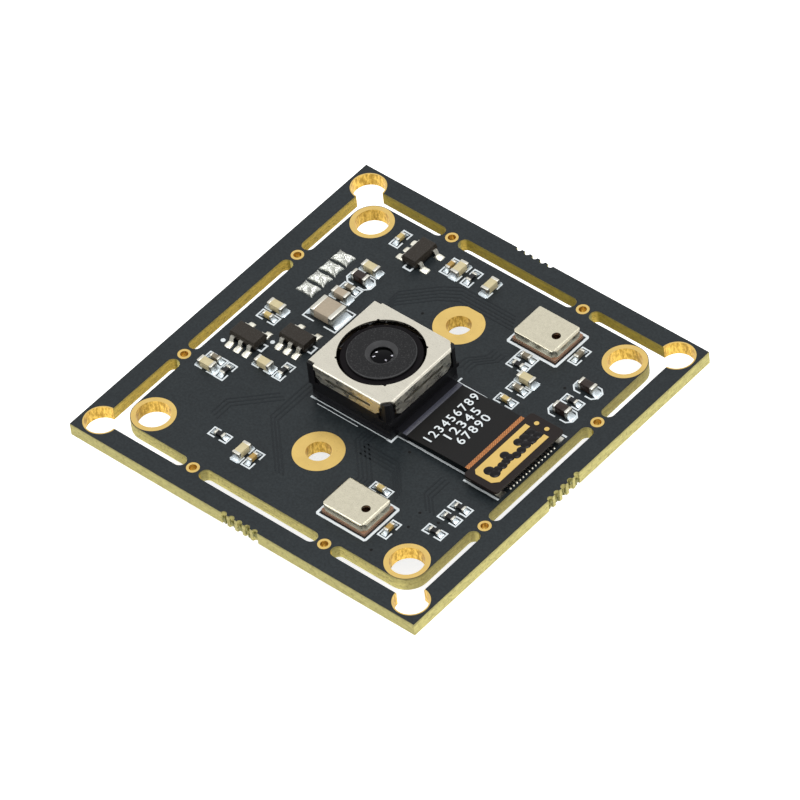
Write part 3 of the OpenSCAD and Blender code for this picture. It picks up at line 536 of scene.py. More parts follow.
class Finishes:
    """Every finish of the board, each named once."""

    MASK = BoardFinish("solder_mask", (0.0145, 0.0190, 0.0215), 0.38, 0.45, 7.0, 0.0015, specular=0.22)
    TRACE = Finish("mask_over_trace", (0.0105, 0.0140, 0.0165), 0.40, 0.3, 3.0, 0.001, specular=0.21)
    INK = Finish("white_ink", (0.72, 0.77, 0.79), 0.55, 0.08, 0.4, 0.003)
    GOLD = PlatedHole("gold_plating", (0.72, 0.505, 0.165), 0.30, 0.10, 1.2, 0.003)
    COPPER = Hatched("bare_copper", (0.50, 0.22, 0.085), 0.42, 0.35, 0.25, 0.01)
    COVER = DrawnSteel("cover_steel", (0.66, 0.63, 0.54), 0.30, 0.06, 0.8, 0.0015, streak=0.12)
    MIC_LID = DrawnSteel(
        "mic_lid", (0.64, 0.60, 0.47), 0.28, 0.10, 0.5, 0.0006, streak=0.05, streak_pitch=0.2
    )
    TIN = Metal("tin_plating", (0.60, 0.585, 0.52), 0.33, 0.14, 0.4, 0.006)
    SOLDER = Metal("solder", (0.58, 0.64, 0.67), 0.36, 0.20, 0.35, 0.015)
    LEAD = Metal("lead_solder", (0.80, 0.78, 0.68), 0.34, 0.15, 0.4, 0.012)
    JOINT = Metal("pin_solder", (0.60, 0.61, 0.57), 0.27, 0.45, 0.3, 0.02)
    # The magnets and springs are coloured far darker than their bare metal: painted shade, standing in for
    # the dark inside the can where they show through gaps.
    MAGNET = Metal("magnet_painted_shade", (0.06, 0.06, 0.06), 0.45, 0.08, 1.0, 0.003)
    SPRING = Metal("spring_sheet", (0.10, 0.075, 0.05), 0.4, 0.08, 1.0, 0.002)
    COIL = Metal("coil_wire", (0.09, 0.04, 0.02), 0.45, 0.15, 0.3, 0.01)
    CRYSTAL = Metal("crystal_lid", (0.62, 0.61, 0.57), 0.27, 0.06, 1.0, 0.002)
    BASE = Moulding("black_moulding", (0.005, 0.005, 0.006), 0.35, 0.3, 1.2, 0.004, specular=0.25)
    BARREL = Barrel(
        "barrel_moulding", (0.010, 0.010, 0.011), 0.5, 0.2, 0.8, 0.008, specular=0.17, speck=0.03
    )
    CARRIER = Moulding("carrier_moulding", (0.004, 0.003, 0.004), 0.5, 0.2, 0.8, 0.004, specular=0.07)
    CHIP = Moulding(
        "chip_moulding", (0.022, 0.017, 0.012), 0.5, 0.35, 0.35, 0.008,
        specular=0.25, speck=0.02, speck_pitch=0.1,
    )
    FLEX = Moulding("flex_film", (0.0062, 0.0060, 0.0060), 0.45, 0.15, 3.0, 0.002, specular=0.17)
    LAMINATE = Finish("rigid_laminate", (0.010, 0.006, 0.005), 0.40, 0.3, 0.8, 0.004, specular=0.2)
    # Near black, as painted shade on the tongue's top.
    TONGUE = Finish("tongue_laminate", (0.006, 0.006, 0.008), 0.38, 0.2, 0.8, 0.004, specular=0.2)
    CONNECTOR = Moulding("connector_moulding", (0.012, 0.008, 0.006), 0.45, 0.25, 0.5, 0.004, specular=0.3)
    NYLON = Moulding("connector_nylon", (0.74, 0.71, 0.62), 0.45, 0.06, 1.5, 0.004)
    RESIN = Moulding("island_resin", (0.005, 0.004, 0.005), 0.30, 0.3, 0.4, 0.004, specular=0.16)
    MIC_BASE = Plies("mic_laminate", (0.26, 0.13, 0.075), 0.42, 0.35, 0.3, 0.004)
    TAPE = Finish("foam_tape", (0.02, 0.02, 0.02), 0.85, 0.3, 0.3, 0.02)
    FILM = Finish("light_stop_film", (0.006, 0.006, 0.006), 0.7, 0.2, 0.5, 0.002, specular=0.15)
    SILICON = Metal("sensor_silicon", (0.20, 0.14, 0.32), 0.15, 0.3, 1.5, 0.001)
    FILTER = Glass("filter_glass", (0.75, 0.88, 0.95), transmission=1.0, drift=0.02, relief=0.0)
    # The front lens is opaque and near black: painted shade, standing in for the dark inside of the lens
    # stack seen through clear glass.
    LENS = Glass(
        "lens_plastic", (0.001, 0.001, 0.001), drift=0.02, relief=0.0,
        specular=0.10, coat=0.0, sheen=(0.9, 0.88, 1.0),
    )
    INNER_LENS = Glass("inner_lens", (0.85, 0.92, 0.95), transmission=1.0, drift=0.02, relief=0.0)
    YELLOW = Finish("ceramic_yellow", (0.55, 0.42, 0.17), 0.42, 0.15, 0.3, 0.006, specular=0.3)
    AMBER = Finish("ceramic_amber", (0.42, 0.27, 0.08), 0.42, 0.15, 0.3, 0.006, specular=0.3)
    BEIGE = Finish("ceramic_beige", (0.60, 0.52, 0.31), 0.45, 0.12, 0.3, 0.006, specular=0.3)
    TAN = Finish("ceramic_tan", (0.42, 0.35, 0.26), 0.45, 0.12, 0.25, 0.006, specular=0.3)
    BROWN = Finish("ceramic_brown", (0.20, 0.17, 0.12), 0.42, 0.2, 0.3, 0.006, specular=0.3)
    TORN = Finish("torn_laminate", (0.20, 0.19, 0.05), 0.8, 0.7, 0.25, 0.02)
    RESISTOR = Moulding("resistor_film", (0.008, 0.008, 0.009), 0.35, 0.2, 0.4, 0.004, specular=0.3)
    FERRITE = Finish("ferrite_ceramic", (0.022, 0.013, 0.010), 0.35, 0.35, 0.35, 0.006, specular=0.3)
    # A lighter bluish strip: painted reflection on the tongue's front edge.
    REFLECTION_STRIP = Finish("painted_edge_reflection", (0.050, 0.052, 0.070), 0.30, 0.25, 0.5, 0.01, specular=0.4)


# ---- Meshes ----


def piece(
    name: str,
    bm: bmesh.types.BMesh,
    finish: Finish,
    replaces: Sequence[str] = (),
    body: Body = Body.ROOT,
    smooth: float = 35.0,
) -> bpy.types.Object:
    """Turns a bmesh into a finished piece that rides on a body.

    Args:
        name: the piece's name.
        bm: its mesh, freed here.
        finish: what it is made of.
        replaces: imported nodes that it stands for.
        body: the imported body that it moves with.
        smooth: edges sharper than this many degrees stay sharp.

    Returns:
        The new object.
    """
    bmesh.ops.recalc_face_normals(bm, faces=bm.faces)
    mesh = bpy.data.meshes.new(name)
    bm.to_mesh(mesh)
    bm.free()
    mesh.shade_smooth()
    mesh.set_sharp_from_angle(angle=math.radians(smooth))
    obj = bpy.data.objects.new(name, mesh)
    bpy.context.scene.collection.objects.link(obj)
    obj.data.materials.append(finish.material())
    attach(obj, body.value)
    if replaces:
        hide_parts(*replaces)
    log.info("%s: %d faces", name, len(mesh.polygons))
    return obj


def block(bm: bmesh.types.BMesh, low: Vector, high: Vector, bevel: float, steps: int = 2) -> None:
    """Adds a box between two corners, with all its edges rounded."""
    place = Matrix.Translation((low + high) / 2) @ Matrix.Diagonal((*(high - low), 1.0))
    verts = bmesh.ops.create_cube(bm, size=1.0, matrix=place)["verts"]
    edges = list({e for v in verts for e in v.link_edges})
    bmesh.ops.bevel(
        bm, geom=edges, offset=bevel, offset_type="OFFSET", segments=steps,
        affect="EDGES", profile=0.5, material=-1,
    )


def disc(bm: bmesh.types.BMesh, centre: Vector, radius: float, height: float, steps: int = 24) -> None:
    """Adds a short upright cylinder whose foot is at centre."""
    place = Matrix.Translation(centre + UP * height / 2)
    bmesh.ops.create_cone(
        bm, cap_ends=True, segments=steps, radius1=radius, radius2=radius, depth=abs(height), matrix=place
    )


def sweep(
    bm: bmesh.types.BMesh, profile: Sequence[Point], path: Sequence[Vector], closed: bool = False
) -> None:
    """Carries a flat profile along a level path, mitred at each bend.

    Args:
        bm: the mesh that it is added to.
        profile: points across the path and up from it, in order round the section.
        path: the level points that it passes.
        closed: whether the path runs back to its first point.
    """
    count = len(path)
    rings = []
    for i, point in enumerate(path):
        before = (point - path[i - 1]).normalized() if i or closed else None
        after = (path[(i + 1) % count] - point).normalized() if i < count - 1 or closed else None
        inward, onward = before or after, after or before
        across = (inward + onward).normalized().cross(UP)
        stretch = 1 / max(0.35, across.dot(inward.cross(UP)))
        rings.append([bm.verts.new(point + across * x * stretch + UP * z) for x, z in profile])
    pairs = zip(rings, rings[1:] + rings[:1]) if closed else zip(rings, rings[1:])
    for here, there in pairs:
        for j in range(len(profile)):
            k = (j + 1) % len(profile)
            bm.faces.new((here[j], here[k], there[k], there[j]))
    if not closed:
        bm.faces.new(rings[0])
        bm.faces.new(rings[-1])


def carry(bm: bmesh.types.BMesh, fresh: bmesh.types.BMesh, place: Matrix) -> None:
    """Moves a shape made at the origin to its place, and adds it to bm.

    Args:
        bm: the mesh that it is added to.
        fresh: the shape, freed here.
        place: where it goes.
    """
    fresh.transform(place)
    mesh = bpy.data.meshes.new("carried")
    fresh.to_mesh(mesh)
    fresh.free()
    bm.from_mesh(mesh)
    bpy.data.meshes.remove(mesh)


def skirt(bm: bmesh.types.BMesh, grid: Sequence[bmesh.types.BMVert], face: float) -> None:
    """Draws the rim of an open sheet down to just inside the face that it stands on."""
    rim = [e for e in {e for v in grid for e in v.link_edges} if e.is_boundary]
    for part in bmesh.ops.extrude_edge_only(bm, edges=rim)["geom"]:
        if isinstance(part, bmesh.types.BMVert):
            part.co.z = face - SINK * MM


def arc(centre: Point, radius: float, start: float, end: float, steps: int = 12) -> list[Point]:
    """Returns points along an arc, its angles in degrees."""
    turns = [math.radians(start + (end - start) * i / steps) for i in range(steps + 1)]
    return [(centre[0] + radius * math.cos(t), centre[1] + radius * math.sin(t)) for t in turns]


def rounded(low: Point, high: Point, radius: float, steps: int = 5) -> list[Point]:
    """Returns the outline of a rectangle with round corners."""
    corners = (
        ((high[0] - radius, high[1] - radius), 0),
        ((low[0] + radius, high[1] - radius), 90),
        ((low[0] + radius, low[1] + radius), 180),
        ((high[0] - radius, low[1] + radius), 270),
    )
    return [p for centre, start in corners for p in arc(centre, radius, start, start + 90, steps)]


@dataclass(frozen=True)
class Box:
    """A box between two corners, in metres."""

    low: Vector
    high: Vector

    @property
    def centre(self) -> Vector:
        """The middle of the box."""
        return (self.low + self.high) / 2

    @property
    def size(self) -> Vector:
        """The box's three sides."""
        return self.high - self.low

    @classmethod
    def of(cls, node: str) -> "Box":
        """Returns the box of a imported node."""
        return cls(*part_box(node))


def islands(node: bpy.types.Object) -> list[Box]:
    """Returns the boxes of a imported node's separate solids, in a steady order."""
    bm = bmesh.new()
    bm.from_mesh(node.data)
    bmesh.ops.remove_doubles(bm, verts=bm.verts, dist=0.0005 * MM)
    left, found = set(bm.verts), []
    while left:
        stack, seen = [left.pop()], []
        while stack:
            vert = stack.pop()
            seen.append(vert.co.copy())
            near = {e.other_vert(vert) for e in vert.link_edges} & left
            left -= near
            stack += near
        low = Vector(map(min, *seen)) if len(seen) > 1 else seen[0]
        high = Vector(map(max, *seen)) if len(seen) > 1 else seen[0]
        found.append(Box(low, high))
    bm.free()
    return sorted(found, key=lambda b: (round(b.low.z, 6), round(b.low.x, 6), round(b.low.y, 6)))


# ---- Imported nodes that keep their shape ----


@dataclass(frozen=True)
class Dress:
    """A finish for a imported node, and how far its moulded edges are softened."""

    finish: Finish
    soften: float = 0.0


class PackedNodes:
    """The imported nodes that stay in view, each with a finish of its own."""

    DRESSES = {
        "board": Dress(Finishes.MASK),
        "mounting_hole_plating": Dress(Finishes.GOLD),
        "frame_hole_plating": Dress(Finishes.GOLD),
        "holder_hole_plating": Dress(Finishes.GOLD),
        "tab_via_plating": Dress(Finishes.GOLD),
        "camera_tape": Dress(Finishes.TAPE),
        "camera_substrate": Dress(Finishes.TONGUE, 0.03),
        "image_sensor": Dress(Finishes.SILICON),
        "sensor_holder": Dress(Finishes.BASE, 0.05),
        "infrared_filter": Dress(Finishes.FILTER),
        "coil_base": Dress(Finishes.BASE, 0.05),
        "steel_cover": Dress(Finishes.COVER),
        "magnet_front": Dress(Finishes.MAGNET, 0.04),
        "magnet_rear": Dress(Finishes.MAGNET, 0.04),
        "magnet_left": Dress(Finishes.MAGNET, 0.04),
        "magnet_right": Dress(Finishes.MAGNET, 0.04),
        "voice_coil": Dress(Finishes.COIL),
        "lens_carrier": Dress(Finishes.CARRIER),
        "upper_spring": Dress(Finishes.SPRING),
        "lower_spring": Dress(Finishes.SPRING),
        "lens_barrel": Dress(Finishes.BARREL, 0.05),
        "lens_1": Dress(Finishes.LENS),
        "lens_2": Dress(Finishes.INNER_LENS),
        "lens_3": Dress(Finishes.INNER_LENS),
        "lens_4": Dress(Finishes.INNER_LENS),
        "lens_5": Dress(Finishes.INNER_LENS),
        "lens_spacers": Dress(Finishes.FILM),
        "retaining_ring": Dress(Finishes.BASE),
        "flex_tail": Dress(Finishes.FLEX),
        "connector_board": Dress(Finishes.LAMINATE, 0.03),
        "flex_ground_pad": Dress(Finishes.GOLD),
        "flex_bare_strip": Dress(Finishes.COPPER),
        "plug_housing": Dress(Finishes.CONNECTOR),
        "plug_contacts": Dress(Finishes.TIN),
        "socket_housing": Dress(Finishes.CONNECTOR, 0.03),
        "socket_contacts": Dress(Finishes.TIN),
        "socket_fittings": Dress(Finishes.TIN),
        "mic_lid_upper": Dress(Finishes.MIC_LID),
        "mic_base_upper": Dress(Finishes.MIC_BASE),
        "mic_lid_lower": Dress(Finishes.MIC_LID),
        "mic_base_lower": Dress(Finishes.MIC_BASE),
        "regulator_1": Dress(Finishes.CHIP, 0.04),
        "regulator_2": Dress(Finishes.CHIP, 0.04),
        "regulator_3": Dress(Finishes.CHIP, 0.04),
        "regulator_leads": Dress(Finishes.TIN),
        "capacitor_bodies": Dress(Finishes.TAN),
        "resistor_bodies": Dress(Finishes.RESISTOR),
        "ferrite_bodies": Dress(Finishes.FERRITE),
        "large_capacitor_body": Dress(Finishes.TAN),
        "passive_ends": Dress(Finishes.TIN),
        "passive_solder": Dress(Finishes.SOLDER),
        "wire_solder_joints": Dress(Finishes.SOLDER),
        "wire_housing": Dress(Finishes.NYLON, 0.08),
        "wire_pins": Dress(Finishes.TIN, 0.05),
        "processor": Dress(Finishes.CHIP, 0.05),
        "processor_lands": Dress(Finishes.TIN),
        "flash_memory": Dress(Finishes.CHIP, 0.06),
        "flash_leads": Dress(Finishes.TIN),
        "crystal": Dress(Finishes.CRYSTAL, 0.04),
    }

    def __init__(self, nodes: dict[str, bpy.types.Object]) -> None:
        """Args: nodes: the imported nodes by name."""
        self.nodes = nodes

    def build(self) -> None:
        """Gives every node its finish, and softens moulded edges."""
        for name, obj in self.nodes.items():
            dress = self.DRESSES[name]
            material = dress.finish.material()
            for i in range(max(1, len(obj.material_slots))):
                if obj.material_slots:
                    obj.material_slots[i].material = material
                else:
                    obj.data.materials.append(material)
            if dress.soften:
                self.soften(obj, dress.soften * MM)
        log.info("dressed %d packed nodes", len(self.nodes))

    @staticmethod
    def soften(obj: bpy.types.Object, width: float) -> None:
        """Rounds a node's sharp edges with modifiers, which leave its mesh alone."""
        weld = obj.modifiers.new("weld", "WELD")
        weld.merge_threshold = 0.001 * MM
        flat = obj.modifiers.new("flat", "DECIMATE")
        flat.decimate_type = "DISSOLVE"
        flat.angle_limit = math.radians(2)
        edge = obj.modifiers.new("edge", "BEVEL")
        edge.width = width
        edge.segments = 2
        edge.limit_method = "ANGLE"
        edge.angle_limit = math.radians(40)
        edge.harden_normals = False


# ---- Printing ----


class Pen:
    """Draws flat printed lines and dots on one level."""

    PITCH = 0.45

    def __init__(self, level: float, width: float, rise: float = 0.02, waver: float = 0.02) -> None:
        """Args:
            level: height of the face that is printed on, in metres.
            width: the line's width, in millimetres.
            rise: the ink's thickness, in millimetres.
            waver: how far a line strays, in millimetres.
        """
        self.bm = bmesh.new()
        self.level = level
        self.width = width
        self.rise = rise
        self.waver = waver

    def line(self, points: Sequence[Point], closed: bool = False, width: float = 0.0) -> None:
        """Draws a line through points in millimetres, slightly uneven as printed lines are."""
        half = (width or self.width) / 2 * MM
        rise = self.rise * MM
        profile = ((-half, 0.0), (-half * 0.9, rise), (half * 0.9, rise), (half, 0.0))
        path = self.stray(list(points) + ([points[0]] if closed else []))
        sweep(self.bm, profile, path[:-1] if closed else path, closed)

    def stray(self, points: Sequence[Point]) -> list[Vector]:
        """Returns the points and more between them, each moved a little off the line."""
        path = []
        for (x0, y0), (x1, y1) in zip(points, points[1:]):
            steps = max(1, round(math.hypot(x1 - x0, y1 - y0) / self.PITCH))
            path += [(x0 + (x1 - x0) * i / steps, y0 + (y1 - y0) * i / steps) for i in range(steps)]
        path.append(points[-1])
        return [self.place(x, y) for x, y in path]

    def place(self, x: float, y: float) -> Vector:
        """Returns a point on the face, moved by soft noise."""
        shift = noise.noise_vector(Vector((x * 1.7, y * 1.7, 0.5))) * self.waver
        return Vector(((x + shift.x) * MM, (y + shift.y) * MM, self.level))

    def dot(self, x: float, y: float, radius: float) -> None:
        """Prints a filled dot."""
        disc(self.bm, Vector((x * MM, y * MM, self.level)), radius * MM, self.rise * MM)

    def clasp(self, x: float, y: float, turn: float, half: Point, gap: float, cut: float = 0.0) -> None:
        """Draws two brackets that face each other across a part.

        Args:
            x, y: the part's centre.
            turn: the direction of its length, in degrees.
            half: half of the brackets' length and width.
            gap: the space between them on the long sides.
            cut: how far their corners are cut off.
        """
        cos, sin = math.cos(math.radians(turn)), math.sin(math.radians(turn))
        long, wide = half
        for end in (-1, 1):
            shape = [(gap / 2, wide)]
            if cut:
                shape += [(long - cut, wide), (long, wide - cut), (long, cut - wide), (long - cut, -wide)]
            else:
                shape += [(long, wide), (long, -wide)]
            shape.append((gap / 2, -wide))
            self.line([(x + end * (u * cos - v * sin), y + end * (u * sin + v * cos)) for u, v in shape])

    def object(self, name: str, finish: Finish) -> bpy.types.Object:
        """Returns everything drawn so far as one piece."""
        return piece(name, self.bm, finish)


# ---- Two-terminal parts ----


@dataclass(frozen=True)
class Part:
    """A two-terminal part as packed: its box with both terminals, and its direction."""

    box: Box
    middle: Box
    along_x: bool
    side: Side

    @property
    def turn(self) -> float:
        """The direction of its length, in degrees."""
        return 0.0 if self.along_x else 90.0

    @property
    def length(self) -> float:
        """Its length, across both terminals."""
        return self.box.size.x if self.along_x else self.box.size.y

    @property
    def width(self) -> float:
        """Its width, across its terminals' long edges."""
        return self.box.size.y if self.along_x else self.box.size.x

    @property
    def height(self) -> float:
        """Its height over the board's face."""
        return self.box.size.z

    @property
    def terminal(self) -> float:
        """The length of one terminal."""
        middle = self.middle.size.x if self.along_x else self.middle.size.y
        return (self.length - middle) / 2

    def place(self, face: float) -> Matrix:
        """Returns the matrix from the part's own axes to the board.

        Args:
            face: height of the board's face that it sits on.
        """
        centre = self.box.centre
        turn = Matrix.Rotation(math.radians(self.turn), 4, "Z")
        if self.side is Side.BACK:
            turn = Matrix.Rotation(math.pi, 4, "X") @ turn
        return Matrix.Translation((centre.x, centre.y, face)) @ turn


class Parts:
    """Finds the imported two-terminal parts by pairing their middles with their terminals."""

    def __init__(self, nodes: dict[str, bpy.types.Object], board: Box) -> None:
        """Args:
            nodes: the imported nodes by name.
            board: the board's box.
        """
        self.nodes = nodes
        self.board = board
        self.ends = islands(nodes["passive_ends"])

    def of(self, node: str) -> list[Part]:
        """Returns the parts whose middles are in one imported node."""
        found = []
        for middle in islands(self.nodes[node]):
            near = sorted(self.ends, key=lambda b: (b.centre - middle.centre).length)[:2]
            low = Vector(map(min, near[0].low, near[1].low))
            high = Vector(map(max, near[0].high, near[1].high))
            apart = near[0].centre - near[1].centre
            side = Side.FRONT if middle.centre.z > self.board.centre.z else Side.BACK
            found.append(Part(Box(low, high), middle, abs(apart.x) > abs(apart.y), side))
        return found

    def face(self, part: Part) -> float:
        """Returns the height of the face that a part sits on."""
        return self.board.high.z if part.side is Side.FRONT else self.board.low.z


@dataclass(frozen=True)
class PartShape:
    """How far a kind of part's solder spreads, and how round its edges are."""

    land: float = 0.35
    wick: float = 0.72
    edge: float = 0.05
    swell: float = 0.015


class PartDress:
    """Bevelled bodies, rounded terminals and hollow solder fillets for two-terminal parts."""

    SHAPES = {
        "capacitor_bodies": PartShape(0.36),
        "resistor_bodies": PartShape(0.38, 0.8, 0.03),
        "ferrite_bodies": PartShape(0.45, 0.75, 0.07),
        "large_capacitor_body": PartShape(0.5, 0.6, 0.09, 0.02),
    }
    FILLET_STEPS = 7

    def __init__(self, parts: Parts) -> None:
        """Args: parts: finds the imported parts."""
        self.parts = parts
        self.terminals = bmesh.new()
        self.solder = bmesh.new()

    def build(self) -> None:
        """Builds every part, its terminals and its solder."""
        tones: dict[Finish, bmesh.types.BMesh] = {}
        for part in self.parts.of("capacitor_bodies"):
            self.dress(part, "capacitor_bodies")
            tone = self.tone(part)
            if tone not in tones:
                tones[tone] = bmesh.new()
            self.body(tones[tone], part, self.SHAPES["capacitor_bodies"])
        for finish, bm in tones.items():
            piece(finish.name, bm, finish, ["capacitor_bodies"])
        for node, finish, slot in (
            ("resistor_bodies", Finishes.RESISTOR, "resistor_film"),
            ("ferrite_bodies", Finishes.FERRITE, "ferrite_ceramic"),
            ("large_capacitor_body", Finishes.TAN, "capacitor_ceramic"),
        ):
            bm = bmesh.new()
            for part in self.parts.of(node):
                self.body(bm, part, self.SHAPES[node])
                self.dress(part, node)
            piece(node + "_dressed", bm, finish, [node])
        piece("part_terminals", self.terminals, Finishes.TIN, ["passive_ends"])
        piece("part_solder", self.solder, Finishes.SOLDER, ["passive_solder"], smooth=50)

    def tone(self, part: Part) -> Finish:
        """Picks a capacitor's ceramic: the longer kind is beige, the shorter varies."""
        if part.length > 1.3 * MM:
            return Finishes.BEIGE if round(part.box.centre.y / MM) % 3 else Finishes.TAN
        pick = round(abs(part.box.centre.x * 3 + part.box.centre.y * 5) / MM) % 5
        return (Finishes.YELLOW, Finishes.AMBER, Finishes.YELLOW, Finishes.BROWN, Finishes.AMBER)[pick]

    def body(self, bm: bmesh.types.BMesh, part: Part, shape: PartShape) -> None:
        """Adds the ceramic between the terminals."""
        half = Vector((part.length / 2 - part.terminal * 0.6, part.width / 2 - 0.03 * MM, 0))
        fresh = bmesh.new()
        block(
            fresh,
            Vector((-half.x, -half.y, 0.03 * MM)),
            Vector((half.x, half.y, part.height - 0.025 * MM)),
            shape.edge * MM,
        )
        carry(bm, fresh, part.place(self.parts.face(part)))

    def dress(self, part: Part, node: str) -> None:
        """Adds a part's two terminals and their solder."""
        shape = self.SHAPES[node]
        ends, joints = bmesh.new(), bmesh.new()
        for end in (-1, 1):
            near, far = end * (part.length / 2 - part.terminal), end * part.length / 2
            block(
                ends,
                Vector((min(near, far), -part.width / 2, 0.01 * MM)),
                Vector((max(near, far), part.width / 2, part.height)),
                min(shape.edge * MM * 1.3, part.terminal * 0.4),
                3,
            )
            self.fillet(joints, part, shape, end)
        place = part.place(self.parts.face(part))
        carry(self.terminals, ends, place)
        carry(self.solder, joints, place)

    def fillet(self, bm: bmesh.types.BMesh, part: Part, shape: PartShape, end: int) -> None:
        """Adds the hollow slope of solder from one terminal down to its land."""
        steps = self.FILLET_STEPS
        grid = bmesh.ops.create_grid(bm, x_segments=steps, y_segments=steps, size=0.5)["verts"]
        reach, climb = shape.land * MM, shape.wick * part.height
        foot = 0.05 * MM
        for vert in grid:
            out, across = vert.co.x + 0.5, vert.co.y * 2
            bulge = 1 - 0.55 * abs(across) ** 3
            height = foot * (1 - out**6) * bulge + climb * bulge * (1 - out) ** 2.4
            spread = part.width / 2 * (0.96 + 0.10 * out - 0.06 * out**4)
            vert.co = Vector((end * (part.length / 2 - 0.03 * MM + out * reach), across * spread, height))
        skirt(bm, grid, 0.0)


# ---- Print on the board ----


class Silkscreen:
    """White lines round the parts, and the shapes that mark how they sit."""

    WIDTH = 0.145
    CHIP = (0.97, 0.45)
    FERRITE = (1.32, 0.72)
    LARGE = (1.80, 1.32)
    GAP = 0.5
    BRACKET = (1.75, 0.38)
    BRACKET_ARM = 0.4
    DOT = (-1.75, -1.3)
    DOT_UPRIGHT = (-1.05, 1.6)
    MIC_OFF = 0.26
    MIC_OFF_LEFT = 0.27
    MIC_WIDTH = 0.25
    CORNER_OFF = Vector((0.45, 0.45, 0.0))
    HOUSING_OFF = 0.3

    def __init__(self, nodes: dict[str, bpy.types.Object], board: Box, parts: Parts) -> None:
        """Args:
            nodes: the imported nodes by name.
            board: the board's box.
            parts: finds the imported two-terminal parts.
        """
        self.nodes = nodes
        self.board = board
        self.parts = parts

    def build(self) -> None:
        """Prints both faces."""
        front = Pen(self.board.high.z, self.WIDTH)
        back = Pen(self.board.low.z, self.WIDTH, rise=-0.02)
        self.clasps(front, back)
        self.camera_lines(front)
        self.regulator_marks(front)
        self.microphone_lines(front)
        self.back_lines(back)
        front.object("front_print", Finishes.INK)
        back.object("back_print", Finishes.INK)

    def clasps(self, front: Pen, back: Pen) -> None:
        """Draws brackets round every two-terminal part."""
        kinds = (
            ("capacitor_bodies", self.CHIP, 0.0),
            ("resistor_bodies", self.CHIP, 0.0),
            ("ferrite_bodies", self.FERRITE, 0.42),
            ("large_capacitor_body", self.LARGE, 0.0),
        )
        for node, half, cut in kinds:
            for part in self.parts.of(node):
                pen = front if part.side is Side.FRONT else back
                centre = part.box.centre / MM
                gap = self.GAP * (2.2 if node == "large_capacitor_body" else 1)
                pen.clasp(centre.x, centre.y, part.turn, half, gap, cut)

    def camera_lines(self, pen: Pen) -> None:
        """Draws the lines round the camera, its tail and its connector."""
        seat = Box.of("steel_cover")
        low, high = seat.low / MM, seat.high / MM
        tail, head = Box.of("flex_tail"), Box.of("connector_board")
        below, above = tail.low.y / MM + 0.1, tail.high.y / MM + 0.55
        end = head.low.x / MM - 0.5
        front, corner = low.y + 0.1, high.x - 0.1
        pen.line([(low.x + 0.1, front + 0.12), (low.x + 0.1, front), (low.x + 0.55, front)], width=0.19)
        pen.line([(low.x + 0.5, front), (corner - 0.4, front)], width=0.09)
        pen.line([(corner - 0.5, front), (corner, front), (corner, below), (end, below)], width=0.2)
        pen.line([(low.x + 1.0, front - 0.35), (corner - 3.4, front - 0.35)], width=0.06)
        rear, left = high.y + 0.15, low.x - 0.25
        pen.line([(left, high.y - 2.2), (left, rear), (low.x + 2.5, rear)])
        pen.line([(corner, rear), (corner, above), (corner + 3.2, above)], width=0.18)
        under, over = head.low.y / MM + 0.3, head.high.y / MM + 0.25
        pen.line([(head.low.x / MM - 0.3, under), (head.high.x / MM - 0.1, under)], width=0.2)
        pen.line([(head.low.x / MM - 0.3, over), (head.high.x / MM - 0.1, over)], width=0.2)

    def regulator_marks(self, pen: Pen) -> None:
        """Draws each regulator's open bracket and its first-lead dot."""
        (reach, half), arm = self.BRACKET, self.BRACKET_ARM
        for i in (1, 2, 3):
            box = Box.of(f"regulator_{i}")
            x, y = box.centre.x / MM, box.centre.y / MM
            shape = [(reach - arm, half), (reach, half), (reach, -half), (reach - arm, -half)]
            dot = self.DOT
            if box.size.y > box.size.x:
                shape = [(v, -u) for u, v in shape]
                dot = self.DOT_UPRIGHT
            pen.line([(x + u, y + v) for u, v in shape], width=0.17)
            pen.dot(x + dot[0], y + dot[1], 0.21)

    def microphone_lines(self, pen: Pen) -> None:
        """Draws a broad line round each microphone."""
        off, left = self.MIC_OFF, self.MIC_OFF_LEFT
        for node in ("mic_base_upper", "mic_base_lower"):
            box = Box.of(node)
            low, high = box.low / MM, box.high / MM
            outline = rounded((low.x - left, low.y - off), (high.x + off, high.y + off), 0.1, 1)
            pen.line(outline, True, self.MIC_WIDTH)

    def back_lines(self, pen: Pen) -> None:
        """Draws the corner marks of the chips on the back, and the wire connector's outline."""
        for node in ("processor", "flash_memory", "crystal"):
            box = Box.of(node)
            low, high = box.low / MM - self.CORNER_OFF, box.high / MM + self.CORNER_OFF
            leg = 0.25 * (high.x - low.x)
            for x, run in ((low.x, leg), (high.x, -leg)):
                for y, rise in ((low.y, leg), (high.y, -leg)):
                    pen.line([(x + run, y), (x, y), (x, y + rise)])
        box = Box.of("processor")
        pen.dot(box.low.x / MM - 0.9, box.high.y / MM + 0.1, 0.25)
        box = Box.of("wire_housing")
        low, high, off = box.low / MM, box.high / MM, self.HOUSING_OFF
        left, right, front, rear = low.x - off, high.x + off, low.y - off, high.y + off
        pen.line([(left, front), (right, front), (right, rear), (left, rear)], True)


# ---- The board's relief ----


